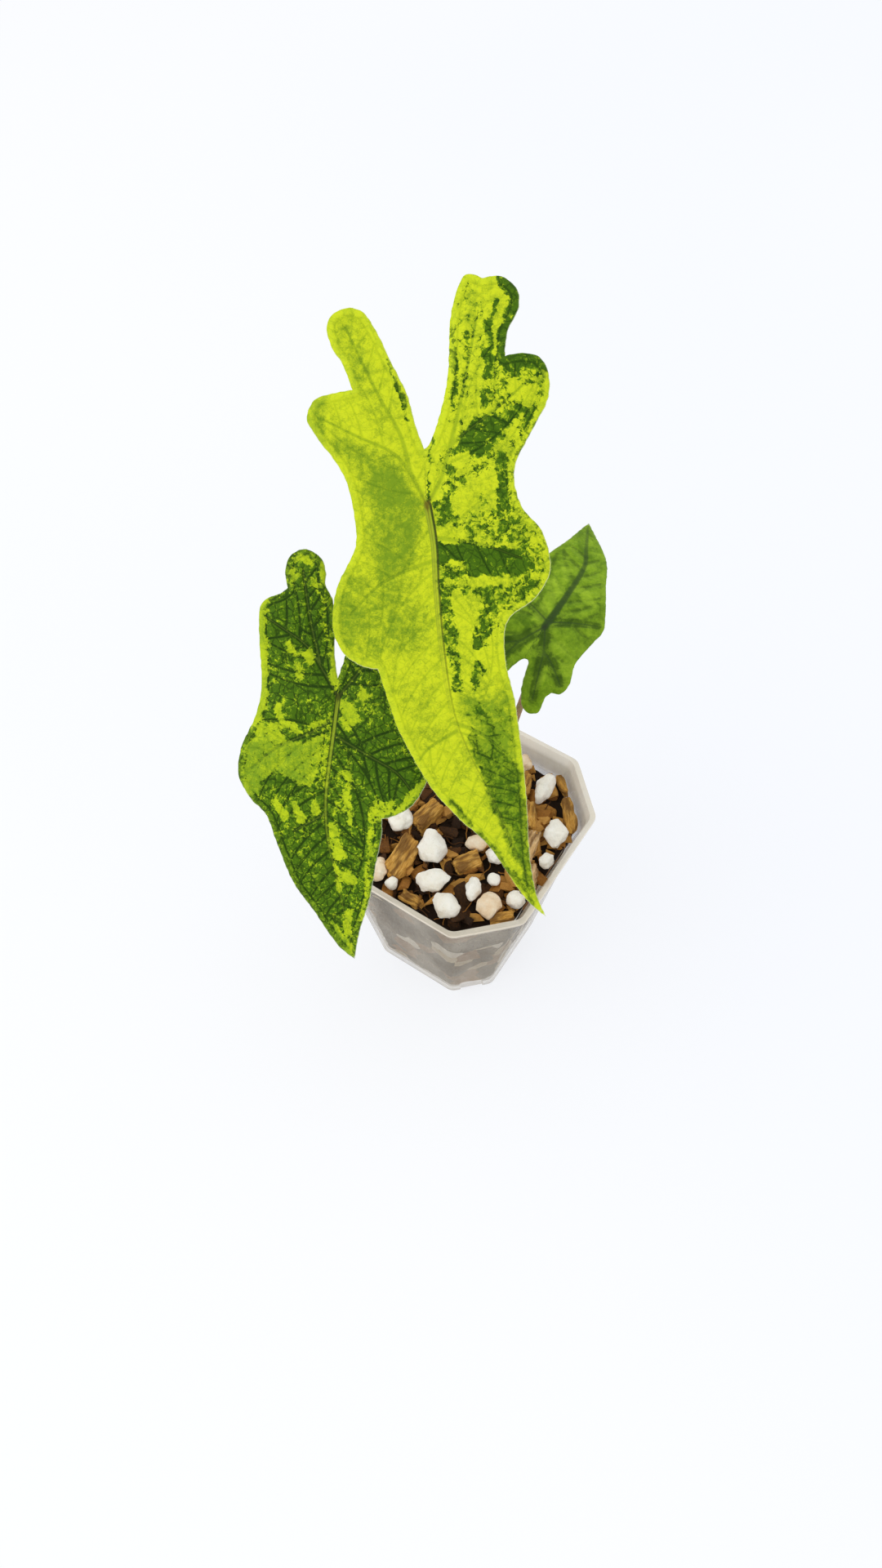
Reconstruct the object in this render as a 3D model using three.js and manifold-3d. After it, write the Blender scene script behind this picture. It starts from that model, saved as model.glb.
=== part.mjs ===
// Potted variegated jacklyn alocasia: three lobed leaves on a short stem, set in bark and pumice in a clear
// pot. Millimetres, +Z up. The origin is the centre of the pot's base, and its sides run along X and Y.
import * as THREE from "three";
import { ConvexGeometry } from "three/addons/geometries/ConvexGeometry.js";
import { mergeVertices } from "three/addons/utils/BufferGeometryUtils.js";
import Module from "manifold-3d";

const wasm = await Module();
wasm.setup();

// Driving dimensions
const GAP = 0.3;
const POT = {
  height: 76,
  rimHalf: 37.5,
  baseHalf: 25,
  cutShare: 0.416,
  cornerRound: 1.8,
  wall: 1,
  floor: 1.4,
  footEdge: 0.8,
  collarHeight: 8,
  collarStep: 0.7,
  lipHeight: 1.1,
  lipWidth: 0.6,
};
const DRAIN = { width: 8, reach: 9, height: 3, fromCentre: 27 };
const BED = { top: 67.2, clipTop: 75, spread: 34 };
const FRAGMENT = { count: 52, z: 67.9, length: [7, 12], width: [4, 6.5], height: [3, 4.6], tilt: 25 };
const CHIP = { pull: 0.42 };
const STONE = { corners: 20, turn: 2.4, sway: 0.9, least: 0.86, bulge: 0.2 };
const PLANT_TURN = 33.3;
const STEM = { x: 7, y: 5, sides: 12 };
const STALK = { sides: 10, steps: 26 };
const TAPER = 0.7;
const ROOT = {
  sides: 5,
  steps: 5,
  count: 6,
  thick: 1.3,
  tip: 0.7,
  turn: 0.3,
  start: 3,
  levels: [52, 48, 42],
  reaches: [13, 10],
  ends: [26, 20],
  flare: 1.5,
  centring: 30,
};
const BLADE = { thickness: 0.8, ribHeight: 0.6, groove: 0.15 };
const KEEL = { slope: 0.1, round: 3 };
const WAVE = { height: 0.9, turn: 0.19, shift: 1.4 };

// Spacings of a blade's net, as shares of its mesh spacing
const NET = { rim: 0.75, vein: 0.85, apart: 0.6, veinApart: 0.5 };

// Seeds of the repeatable random draws
const SEED = { fragments: 11, bark: 8, pumice: 5, corners: 23 };

const degrees = THREE.MathUtils.degToRad;
const UP = new THREE.Vector3(0, 0, 1);
const vector = (list) => new THREE.Vector3(...list);

// Colour, roughness and metalness of each kind of surface
const surface = (color, roughness) => new THREE.MeshStandardMaterial({ color, roughness, metalness: 0 });
const CLEAR_PLASTIC = surface(0xd8d6d0, 0.25);
const DARK_BARK = surface(0x35241a, 0.9);
const TAN_BARK = surface(0xab803b, 0.85);
const PALE_BARK = surface(0xcfa06a, 0.85);
const PUMICE = surface(0xf4f3ee, 0.9);
const CREAM_PUMICE = surface(0xeed9bd, 0.9);
const STEM_SKIN = surface(0x7d7a3a, 0.6);
const STALK_SKIN = surface(0x9a7358, 0.5);
const LIME_LEAF = surface(0x9fbb24, 0.5);
const MARBLED_LEAF = surface(0x587d1c, 0.5);
const GREEN_LEAF = surface(0x4f681f, 0.5);

// A repeatable stream of numbers from 0 to 1
function randomStream(seed) {
  let state = seed;
  return () => {
    state = (state + 0x6d2b79f5) | 0;
    let mixed = Math.imul(state ^ (state >>> 15), 1 | state);
    mixed = (mixed + Math.imul(mixed ^ (mixed >>> 7), 61 | mixed)) ^ mixed;
    return ((mixed ^ (mixed >>> 14)) >>> 0) / 4294967296;
  };
}

// Solids for joining and cutting
function solid(geometry) {
  const bare = new THREE.BufferGeometry();
  bare.setAttribute("position", geometry.getAttribute("position"));
  bare.setIndex(geometry.index);
  const merged = mergeVertices(bare, 1e-4);
  const vertProperties = new Float32Array(merged.getAttribute("position").array);
  const triVerts = new Uint32Array(merged.index.array);
  return new wasm.Manifold(new wasm.Mesh({ numProp: 3, vertProperties, triVerts }));
}

function geometryOf(body) {
  const { vertProperties, triVerts } = body.getMesh();
  const geometry = new THREE.BufferGeometry();
  geometry.setAttribute("position", new THREE.BufferAttribute(new Float32Array(vertProperties), 3));
  geometry.setIndex(new THREE.BufferAttribute(new Uint32Array(triVerts), 1));
  geometry.computeVertexNormals();
  return geometry;
}

// The largest body of a cut solid, without loose scraps
function largest(body) {
  const bodies = body.decompose();
  bodies.sort((a, b) => b.volume() - a.volume());
  return bodies[0];
}

function joined(bodies) {
  return bodies.reduce((whole, body) => whole.add(body));
}

// A closed skin over rings of points, with a fan at each end
function skin(rings) {
  const count = rings[0].length;
  const points = rings.flat();
  const faces = [];
  for (let start = 0; start < points.length - count; start += count) {
    for (let i = 0; i < count; i++) {
      const a = start + i;
      const b = start + ((i + 1) % count);
      faces.push(a, b, b + count, a, b + count, a + count);
    }
  }
  const last = points.length - count;
  const first = points.push(middle(rings[0])) - 1;
  const end = points.push(middle(rings.at(-1))) - 1;
  for (let i = 0; i < count; i++) {
    const next = (i + 1) % count;
    faces.push(first, next, i);
    faces.push(end, last + i, last + next);
  }
  return indexed(points, faces);
}

function middle(points) {
  const sum = points.reduce((total, point) => total.add(point), new THREE.Vector3());
  return sum.divideScalar(points.length);
}

function indexed(points, faces) {
  const geometry = new THREE.BufferGeometry().setFromPoints(points);
  geometry.setIndex(faces);
  geometry.computeVertexNormals();
  return geometry;
}

// Pot: a square with cut corners, each of its eight edges rounded
function cutSquare(half, z) {
  const straight = half * (1 - POT.cutShare);
  const corners = [];
  for (let quarter = 0; quarter < 4; quarter++) {
    const turn = (quarter * Math.PI) / 2;
    for (const [x, y] of [[half, straight], [straight, half]]) {
      corners.push(new THREE.Vector3(x, y, z).applyAxisAngle(UP, turn));
    }
  }
  return corners.flatMap((corner, i) => {
    const before = corners.at(i - 1);
    const after = corners[(i + 1) % corners.length];
    return roundedCorner(before, corner, after);
  });
}

function roundedCorner(before, corner, after) {
  const towards = (other) => other.clone().sub(corner).setLength(POT.cornerRound).add(corner);
  const bend = new THREE.QuadraticBezierCurve3(towards(before), corner, towards(after));
  return bend.getPoints(2);
}

function potGeometry() {
  const collarFoot = POT.height - POT.collarHeight;
  const lipFoot = POT.height - POT.lipHeight;
  const collarHalf = POT.rimHalf - POT.lipWidth;
  const outside = [
    [POT.baseHalf - POT.footEdge, 0],
    [POT.baseHalf, POT.footEdge],
    [wallHalf(collarFoot), collarFoot],
    [wallHalf(collarFoot) + POT.collarStep, collarFoot + POT.collarStep],
    [collarHalf, lipFoot],
    [POT.rimHalf, lipFoot],
    [POT.rimHalf, POT.height],
  ];
  const inside = [
    [collarHalf - POT.wall, POT.height],
    [wallHalf(collarFoot) + POT.collarStep - POT.wall, collarFoot + POT.collarStep],
    [wallHalf(collarFoot) - POT.wall, collarFoot],
    [POT.baseHalf - POT.wall, POT.floor],
  ];
  const shell = solid(skin([...outside, ...inside].map(([half, z]) => cutSquare(half, z))));
  return geometryOf(shell.subtract(drainSlots()));
}

// Half width of the tapered wall below the collar
function wallHalf(z) {
  const collarHalf = POT.rimHalf - POT.lipWidth - 2 * POT.collarStep;
  return THREE.MathUtils.mapLinear(z, 0, POT.height, POT.baseHalf, collarHalf);
}

// Four drain slots that wrap the foot of the cut corners
function drainSlots() {
  const slots = [];
  for (let quarter = 0; quarter < 4; quarter++) {
    const slot = new THREE.BoxGeometry(DRAIN.reach, DRAIN.width, DRAIN.height * 2);
    slot.translate(DRAIN.fromCentre, 0, 0);
    slot.rotateZ(Math.PI / 4 + (quarter * Math.PI) / 2);
    slots.push(solid(slot));
  }
  return joined(slots);
}

// The space inside the pot, clear of its walls, up to a height
function potInside(top) {
  const collarFoot = POT.height - POT.collarHeight;
  const clear = POT.wall + GAP;
  const rings = [
    cutSquare(POT.baseHalf - clear, POT.floor + GAP),
    cutSquare(wallHalf(Math.min(top, collarFoot)) - clear, Math.min(top, collarFoot)),
  ];
  if (top > collarFoot) {
    rings.push(cutSquare(wallHalf(collarFoot) - clear, top));
  }
  return solid(skin(rings));
}

// Bark and pumice: a piece is a hull of corners about its middle, and its socket is that hull a gap larger
function slabCorners(random, size, stations = [-1, 0, 1]) {
  const pulled = (side, length) => (side * length * (1 - CHIP.pull * random())) / 2;
  const [x, y, z] = size;
  const corners = [];
  for (const sx of stations) {
    for (const sy of [-1, 1]) {
      for (const sz of [-1, 1]) {
        corners.push(new THREE.Vector3(pulled(sx, x), pulled(sy, y), pulled(sz, z)));
      }
    }
  }
  return corners;
}

function stoneCorners(random, [x, y, z]) {
  const corners = [];
  for (let i = 0; i < STONE.corners; i++) {
    const height = 1 - (2 * (i + 0.5)) / STONE.corners;
    const around = i * STONE.turn + STONE.sway * random();
    const level = Math.sqrt(1 - height * height);
    const bulge = STONE.least + STONE.bulge * random();
    const corner = new THREE.Vector3(level * Math.cos(around), level * Math.sin(around), height);
    corners.push(corner.multiply(new THREE.Vector3(x / 2, y / 2, z / 2)).multiplyScalar(bulge));
  }
  return corners;
}

function chunk(corners, piece, grow) {
  const [x, y, z] = piece.size;
  const geometry = new ConvexGeometry(corners);
  geometry.scale(1 + (2 * grow) / x, 1 + (2 * grow) / y, 1 + (2 * grow) / z);
  geometry.rotateX(degrees(piece.tilt));
  geometry.rotateZ(degrees(piece.yaw));
  geometry.translate(...piece.at);
  geometry.deleteAttribute("normal");
  return solid(mergeVertices(geometry, 1e-4));
}

// Dark fragments that stand out of the bed's top and belong to it
function bedFragments() {
  const random = randomStream(SEED.fragments);
  const between = (low, high) => low + (high - low) * random();
  const fragments = [];
  for (let i = 0; i < FRAGMENT.count; i++) {
    const size = [between(...FRAGMENT.length), between(...FRAGMENT.width), between(...FRAGMENT.height)];
    const at = [between(-BED.spread, BED.spread), between(-BED.spread, BED.spread), FRAGMENT.z + random()];
    const piece = { size, at, yaw: between(0, 180), tilt: between(-FRAGMENT.tilt, FRAGMENT.tilt) };
    fragments.push(chunk(slabCorners(random, size, [-1, 1]), piece, 0));
  }
  return joined(fragments).intersect(potInside(BED.clipTop));
}

// The loose pieces on the bed: place, full size, turn about Z and tilt. The first ones lie where the leaves
// leave the bed open to view, and the rest follow a seeded rule under the leaves.
const FACING = PLANT_TURN;
const SEEN_PUMICE = [
  { at: [-1, -12.6, 70.6], size: [10, 12, 8], yaw: FACING, tilt: 8 },
  { at: [5, -22, 70.2], size: [12.5, 8.5, 7], yaw: FACING, tilt: 0 },
  { at: [13.5, -27, 70.4], size: [9.5, 10, 8], yaw: FACING, tilt: -6 },
  { at: [17.3, -18, 70.6], size: [5, 9, 7], yaw: FACING - 8, tilt: 14 },
  { at: [24.2, -20.2, 70.2], size: [9.5, 9, 7], yaw: FACING + 30, tilt: 10, cream: true },
  { at: [30, -13.5, 69.8], size: [6.5, 6.5, 6], yaw: FACING, tilt: 0 },
  { at: [-15.4, -9.6, 70.4], size: [10, 9, 7], yaw: FACING, tilt: 0 },
  { at: [-11.5, -28, 69.8], size: [8, 9, 6], yaw: FACING, tilt: 0, cream: true },
  { at: [9.4, -3.4, 69.8], size: [8, 6, 5], yaw: FACING, tilt: 5, cream: true },
  { at: [17, 25.5, 70.2], size: [6.5, 13, 6], yaw: FACING - 24, tilt: 6 },
  { at: [28.4, 13, 70.4], size: [9, 10, 7], yaw: FACING, tilt: 0 },
  { at: [5.5, 30, 70], size: [8, 7, 6], yaw: FACING, tilt: 0, cream: true },
  { at: [31, 3.4, 69.8], size: [5.5, 6.5, 5], yaw: 0, tilt: 0 },
  { at: [20.6, -11.4, 69.6], size: [4.5, 4.5, 4], yaw: FACING, tilt: 0 },
  { at: [-5, -29.6, 69.6], size: [4.5, 4.5, 4], yaw: 0, tilt: 0 },
];
const SEEN_BARK = [
  { at: [29.2, 21.6, 70], size: [16, 6.5, 5], yaw: FACING + 96, tilt: 12 },
  { at: [-7.4, -20.6, 69.8], size: [16, 8, 5], yaw: FACING + 62, tilt: 10 },
  { at: [-9.2, -3, 69.8], size: [13, 6.5, 5], yaw: FACING + 50, tilt: -12 },
  { at: [10.6, -10.6, 69.8], size: [9, 6, 5], yaw: FACING + 25, tilt: 8 },
  { at: [29.6, -21.4, 69.4], size: [8.5, 4, 4], yaw: 48, tilt: 0 },
  { at: [22, 30.6, 69.8], size: [8, 5.5, 4.5], yaw: -35, tilt: 8 },
  { at: [22.6, 4.2, 69.8], size: [13, 7.5, 5], yaw: FACING + 70, tilt: 8, pale: true },
  { at: [28.6, -5, 69.6], size: [9, 6.5, 5], yaw: FACING + 85, tilt: -8, pale: true },
  { at: [10.6, 22.6, 69.8], size: [9, 5, 4.5], yaw: FACING + 80, tilt: 0 },
  { at: [3, -31, 69.4], size: [7.5, 3.6, 4], yaw: 4, tilt: 0 },
];
const HIDDEN = { tries: 2000, spread: 30, cutCorner: 43.5, z: 70, apart: 0.3, least: 0.85, range: 0.35, tilt: 8 };
const HIDDEN_BARK = { count: 8, size: [11, 6, 4.6], seed: SEED.bark };
const HIDDEN_PUMICE = { count: 8, size: [8.5, 7, 6], seed: SEED.pumice };
const STEM_CLEARANCE = 20;

// Random draws that keep clear of every piece before them, of the stem and of the cut corners
function hiddenPieces(kind, placed) {
  const random = randomStream(kind.seed);
  const eitherSide = (reach) => reach * (2 * random() - 1);
  const found = [];
  for (let tries = 0; tries < HIDDEN.tries && found.length < kind.count; tries++) {
    const [x, y] = [eitherSide(HIDDEN.spread), eitherSide(HIDDEN.spread)];
    const grown = HIDDEN.least + HIDDEN.range * random();
    const size = kind.size.map((side) => side * grown);
    const piece = { at: [x, y, HIDDEN.z], size, yaw: 180 * random(), tilt: eitherSide(HIDDEN.tilt) };
    const clear = [...placed, ...found].every((other) => apart(piece, other));
    if (clear && Math.abs(x) + Math.abs(y) < HIDDEN.cutCorner) {
      found.push(piece);
    }
  }
  return found;
}

function apart(piece, other) {
  const reach = (one) => (one.size[0] + one.size[1]) / 4;
  const distance = Math.hypot(piece.at[0] - other.at[0], piece.at[1] - other.at[1]);
  return distance > reach(piece) + reach(other) + HIDDEN.apart;
}

// Each loose piece gives way to those before it, by its socket's gap
function loosePieces() {
  const [stemX, stemY] = inPot(STEM.x, STEM.y);
  const stem = { at: [stemX, stemY, 0], size: [STEM_CLEARANCE, STEM_CLEARANCE, 0] };
  const seen = [...SEEN_PUMICE, ...SEEN_BARK, stem];
  const moreBark = hiddenPieces(HIDDEN_BARK, seen);
  const morePumice = hiddenPieces(HIDDEN_PUMICE, [...seen, ...moreBark]);
  const random = randomStream(SEED.corners);
  const space = potInside(BED.clipTop);
  const named = (list, kind, corners, plain, other) =>
    list.map((piece, i) => {
      const hull = corners(random, piece.size);
      return {
        name: `${kind}_${String(i + 1).padStart(2, "0")}`,
        material: piece.cream || piece.pale ? other : plain,
        body: chunk(hull, piece, 0).intersect(space),
        socket: chunk(hull, piece, GAP),
      };
    });
  const pieces = [
    ...named([...SEEN_PUMICE, ...morePumice], "pumice", stoneCorners, PUMICE, CREAM_PUMICE),
    ...named([...SEEN_BARK, ...moreBark], "bark", slabCorners, TAN_BARK, PALE_BARK),
  ];
  pieces.forEach((piece, i) => {
    for (const earlier of pieces.slice(0, i)) {
      piece.body = piece.body.subtract(earlier.socket);
    }
    piece.body = largest(piece.body);
  });
  return pieces;
}

// From the plant's own axes to the pot's
function inPot(x, y) {
  const point = new THREE.Vector2(x, y).rotateAround(new THREE.Vector2(), degrees(PLANT_TURN));
  return [point.x, point.y];
}

// Leaf blades, drawn upright in their own plane: x to the right, y away from the tip, the stalk at (0, 0).
// A run is a smooth curve, and runs meet in corners.
const MAIN_LEAF = {
  name: "main",
  material: LIME_LEAF,
  at: [-8.3, 2.2, 201.8],
  turn: 4,
  slope: 44,
  reach: 105,
  baseReach: 55,
  half: 28,
  tipDroop: 12,
  baseDroop: 4,
  cup: 2,
  spacing: 3.6,
  runs: [
    [[0, 12], [-1.7, 17.5], [-3.2, 24], [-6.6, 31.5], [-8.6, 36.2], [-11.6, 41], [-16, 41.8], [-19.4, 39],
      [-18.7, 34], [-16.6, 30.5], [-14.8, 25]],
    [[-14.8, 25], [-18.5, 24.5], [-23, 23.3], [-25, 19.5], [-23.5, 16], [-17.8, 7], [-16, -3], [-16.6, -9],
      [-21, -17], [-22.5, -25.5], [-20.5, -31.5], [-16.5, -34.7], [-13, -35.5]],
    [[-13, -35.5], [-10.7, -44.5], [-8.5, -51.5], [-2.5, -64], [4, -72.5], [11, -80], [19, -93.5],
      [24.5, -99.5]],
    [[24.5, -99.5], [22.3, -93.5], [20.8, -83], [20, -65.5], [18.2, -46], [16, -34.5], [17, -26],
      [23.5, -21.3], [27, -15], [25.3, -7], [20.7, -1], [19.6, 7], [24, 15], [27.5, 21], [28, 26], [26, 30],
      [22, 31], [18.5, 30.5]],
    [[18.5, 30.5], [19.3, 35.5], [22, 40.5], [21.8, 44.5], [18.5, 47.3], [14.5, 47]],
    [[14.5, 47], [12, 48], [9.8, 46.7], [7.2, 39], [6.1, 28], [4.3, 20.5], [1.5, 13.5], [0, 12]],
  ],
  veins: [
    [[0, 0], [1, -8], [1.1, -18], [1.5, -29], [2.5, -40.5], [4, -49], [7.2, -58], [12.5, -69.5], [17, -81],
      [23, -96]],
    [[0, 0], [-3.3, 7], [-7, 11.5], [-14, 15], [-21.5, 19]],
    [[-3.3, 7], [-5, 15], [-9, 23], [-13, 32], [-15.5, 38]],
    [[0, 0], [3.6, 6], [6, 12.5], [12.5, 17.3], [18.5, 21.5], [24, 26]],
    [[4.6, 9], [6.5, 15], [9.5, 25.5], [12.8, 39]],
    [[1, -7], [11.5, -9], [20.5, -12.5]],
    [[1, -12], [-7, -14.5], [-12.5, -17.5], [-18.5, -23]],
    [[4, -49], [10, -52], [16, -57]],
    [[4.3, -51], [-2, -54.5], [-5, -58]],
  ],
};
const LEFT_LEAF = {
  name: "left",
  material: MARBLED_LEAF,
  at: [-29.7, -21.1, 162.9],
  turn: -6,
  slope: 42,
  reach: 70,
  baseReach: 39,
  half: 24,
  tipDroop: 9,
  baseDroop: 3,
  cup: 2,
  spacing: 3.3,
  runs: [
    [[-0.4, 4.2], [-1.6, 10.4], [-1.8, 16.4], [-2.8, 22.2], [-4.9, 26], [-5, 29], [-6.6, 32.2], [-10.2, 33.9],
      [-13.6, 32.2], [-14.7, 28.6], [-13.8, 24.6]],
    [[-13.8, 24.6], [-15.6, 23], [-18, 22], [-19.9, 19.6], [-19.6, 12.4], [-18.6, 1], [-19.8, -6.6],
      [-22.6, -14], [-23, -21.2], [-20, -26.8], [-16, -30.8], [-12.8, -38.6], [-8.8, -47.4], [-3.6, -54.6],
      [2.6, -63.4], [7.2, -67]],
    [[7.2, -67], [8.2, -59.2], [10.4, -50], [11.6, -40.2], [12.6, -33], [12.4, -28.8]],
    [[12.4, -28.8], [15.4, -27.8], [19.6, -24.8], [22.6, -18.6], [22.6, -12.4], [20, -5.2], [18.6, 2],
      [19.2, 12.4], [18.8, 18.6], [16, 22.2], [14, 23.6]],
    [[14, 23.6], [14.4, 28.8], [12.4, 33.4], [8.8, 34.6], [5.6, 32], [3.8, 25.8], [2.6, 18.6], [1.2, 10.4],
      [-0.4, 4.2]],
  ],
  veins: [
    [[0, 0], [-0.6, -9.2], [-1.4, -19.6], [-1.6, -26.8], [-0.6, -36], [1.6, -44.2], [3.8, -53], [6.6, -63.8]],
    [[0, 0], [-3.8, 5.6], [-8.2, 11.4], [-14.4, 15.2], [-18.6, 17.6]],
    [[-4.8, 7.8], [-7.8, 17.6], [-10.4, 28.8]],
    [[0, 0], [3.8, 5.2], [7.8, 10.8], [13.4, 14.4], [17.8, 16.4]],
    [[4.8, 7.8], [7.4, 17.6], [9.6, 29.4]],
    [[-0.6, -5.2], [-6.2, -9.2], [-14, -13.4], [-20, -19]],
    [[-0.6, -9.2], [7.8, -13.4], [15, -17], [19, -21.2]],
    [[-1.4, -28.8], [-9.2, -34]],
  ],
};
const BACK_LEAF = {
  name: "back",
  material: GREEN_LEAF,
  at: [23.4, 20.4, 139.7],
  turn: 150,
  slope: 0,
  reach: 45,
  baseReach: 25,
  half: 17,
  tipDroop: 5,
  baseDroop: 3,
  cup: 1.5,
  spacing: 3,
  runs: [
    [[0, 12], [-1.5, 12.5], [-3, 18.5], [-4.5, 22.5], [-6.5, 25.2], [-9, 26], [-11, 24.5], [-10.7, 20.5],
      [-11.5, 18.5]],
    [[-11.5, 18.5], [-14, 17.6], [-14.6, 14], [-13, 7], [-13.8, -2], [-14.5, -7], [-12.5, -12.5], [-8, -22.5],
      [-4.5, -31], [-0.5, -37], [5, -43], [9, -47.5]],
    [[9, -47.5], [9.6, -43], [10.3, -35], [12, -27.5], [14.5, -18], [15.5, -8], [14.3, 2], [13.2, 10],
      [14, 16.5], [11.8, 20.5], [10, 20.8]],
    [[10, 20.8], [10, 25], [7, 27], [4.3, 24], [2.5, 18.5], [1, 13.5], [0, 12]],
  ],
  veins: [
    [[0, 0], [0, -14], [1, -27], [4.5, -36], [8.2, -45]],
    [[0, 0], [-3.5, 7.5], [-5.5, 14], [-8, 22.5]],
    [[-3.5, 7.5], [-8, 11], [-12.5, 15.5]],
    [[0, 0], [3.5, 7.5], [5.3, 14], [7.3, 23]],
    [[3.5, 7.5], [8, 11], [12, 16]],
    [[0, -2], [-6, -5], [-12.5, -7.5]],
    [[0, -2], [6.5, -5], [13.5, -8]],
  ],
};
const LEAVES = [MAIN_LEAF, LEFT_LEAF, BACK_LEAF];

// Height of a blade's middle surface over its flat plane: the tip and the basal lobes droop, the sides cup
// about the midrib, and the margin waves
function bladeHeight(leaf, x, y) {
  const keel = KEEL.slope * (Math.hypot(x, KEEL.round) - KEEL.round);
  const droop = y < 0 ? leaf.tipDroop * (y / leaf.reach) ** 2 : leaf.baseDroop * (y / leaf.baseReach) ** 2;
  const side = x / leaf.half;
  const wave = WAVE.height * side * side * Math.sin(WAVE.turn * y + WAVE.shift * Math.sign(x));
  return keel - droop - leaf.cup * side * side + wave;
}

// Even steps along a smooth curve through a line's places
function spaced(line, spacing) {
  const curve = new THREE.SplineCurve(line.map(([x, y]) => new THREE.Vector2(x, y)));
  return curve.getSpacedPoints(Math.ceil(curve.getLength() / spacing));
}

// The margin of a blade, run by run
function leafOutline(leaf) {
  const outline = [];
  for (const run of leaf.runs) {
    outline.push(...spaced(run, NET.rim * leaf.spacing).slice(0, -1));
  }
  return outline;
}

// Points along each vein inside the blade, at the mesh's own spacing
function veinPoints(leaf, outline) {
  const points = [];
  const fromVeins = NET.veinApart * leaf.spacing;
  const fromRim = NET.apart * leaf.spacing;
  for (const point of leaf.veins.flatMap((vein) => spaced(vein, NET.vein * leaf.spacing))) {
    const free = clearOf(points, point, fromVeins) && clearOf(outline, point, fromRim);
    if (free && inside(outline, point)) {
      points.push(point);
    }
  }
  return points;
}

// A triangular grid of points in the rest of the blade
function fieldPoints(leaf, outline, veins) {
  const box = new THREE.Box2().setFromPoints(outline);
  const rise = (leaf.spacing * Math.sqrt(3)) / 2;
  const room = NET.apart * leaf.spacing;
  const points = [];
  let shift = 0;
  for (let y = box.min.y; y < box.max.y; y += rise) {
    shift = leaf.spacing / 2 - shift;
    for (let x = box.min.x + shift; x < box.max.x; x += leaf.spacing) {
      const point = new THREE.Vector2(x, y);
      if (clearOf(outline, point, room) && clearOf(veins, point, room) && inside(outline, point)) {
        points.push(point);
      }
    }
  }
  return points;
}

function clearOf(points, point, distance) {
  return points.every((other) => other.distanceTo(point) > distance);
}

function inside(outline, point) {
  let within = false;
  outline.forEach((a, i) => {
    const b = outline.at(i - 1);
    const crosses = a.y > point.y !== b.y > point.y;
    if (crosses && point.x < a.x + ((b.x - a.x) * (point.y - a.y)) / (b.y - a.y)) {
      within = !within;
    }
  });
  return within;
}

// Delaunay triangles over the points: each new point replaces the triangles whose circle holds it
function triangulate(points) {
  const far = 5000;
  const count = points.length;
  const all = [...points, new THREE.Vector2(-far, -far), new THREE.Vector2(far, -far), new THREE.Vector2(0, far)];
  let triangles = [circled(all, count, count + 1, count + 2)];
  for (let i = 0; i < count; i++) {
    const holds = (triangle) => triangle.centre.distanceTo(points[i]) < triangle.radius;
    const opened = boundary(triangles.filter(holds).map((triangle) => triangle.corners));
    triangles = triangles.filter((triangle) => !holds(triangle));
    for (const [a, b] of opened) {
      triangles.push(circled(all, a, b, i));
    }
  }
  return triangles.map((triangle) => triangle.corners).filter((corners) => Math.max(...corners) < count);
}

function circled(points, a, b, c) {
  const [p, q, r] = [points[a], points[b], points[c]];
  const d = 2 * (p.x * (q.y - r.y) + q.x * (r.y - p.y) + r.x * (p.y - q.y));
  const [pp, qq, rr] = [p.lengthSq(), q.lengthSq(), r.lengthSq()];
  const x = (pp * (q.y - r.y) + qq * (r.y - p.y) + rr * (p.y - q.y)) / d;
  const y = (pp * (r.x - q.x) + qq * (p.x - r.x) + rr * (q.x - p.x)) / d;
  const centre = new THREE.Vector2(x, y);
  return { corners: [a, b, c], centre, radius: centre.distanceTo(p) };
}

// Edges that only one of the triangles uses, in that triangle's direction
function boundary(triangles) {
  const edges = new Map();
  for (const [a, b, c] of triangles) {
    for (const [from, to] of [[a, b], [b, c], [c, a]]) {
      if (!edges.delete(`${to},${from}`)) {
        edges.set(`${from},${to}`, [from, to]);
      }
    }
  }
  return edges.values();
}

// The same flat triangles for a blade's two faces, each turned counter-clockwise
function bladeNet(leaf) {
  const outline = leafOutline(leaf);
  const veins = veinPoints(leaf, outline);
  const points = [...outline, ...veins, ...fieldPoints(leaf, outline, veins)];
  const onVein = (i) => i >= outline.length && i < outline.length + veins.length;
  const triangles = triangulate(points).filter(([a, b, c]) => {
    const centre = points[a].clone().add(points[b]).add(points[c]).divideScalar(3);
    return inside(outline, centre);
  });
  const turned = triangles.map(([a, b, c]) => {
    const cross = points[b].clone().sub(points[a]).cross(points[c].clone().sub(points[a]));
    return cross > 0 ? [a, b, c] : [a, c, b];
  });
  return { points, onVein, triangles: turned };
}

// A thin blade: grooved over the veins on top, ribbed under them
function bladeGeometry(leaf, net, grow) {
  const half = BLADE.thickness / 2 + grow;
  const count = net.points.length;
  const faceAt = (offset, vein) =>
    net.points.map((point, i) => {
      const z = bladeHeight(leaf, point.x, point.y) + offset + (net.onVein(i) ? vein : 0);
      return new THREE.Vector3(point.x, point.y, z);
    });
  const points = [...faceAt(half, -BLADE.groove), ...faceAt(-half, -BLADE.ribHeight)];
  const faces = [];
  for (const [a, b, c] of net.triangles) {
    faces.push(a, b, c);
    faces.push(a + count, c + count, b + count);
  }
  for (const [a, b] of boundary(net.triangles)) {
    faces.push(b, a, a + count);
    faces.push(b, a + count, b + count);
  }
  return indexed(points, faces);
}

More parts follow.
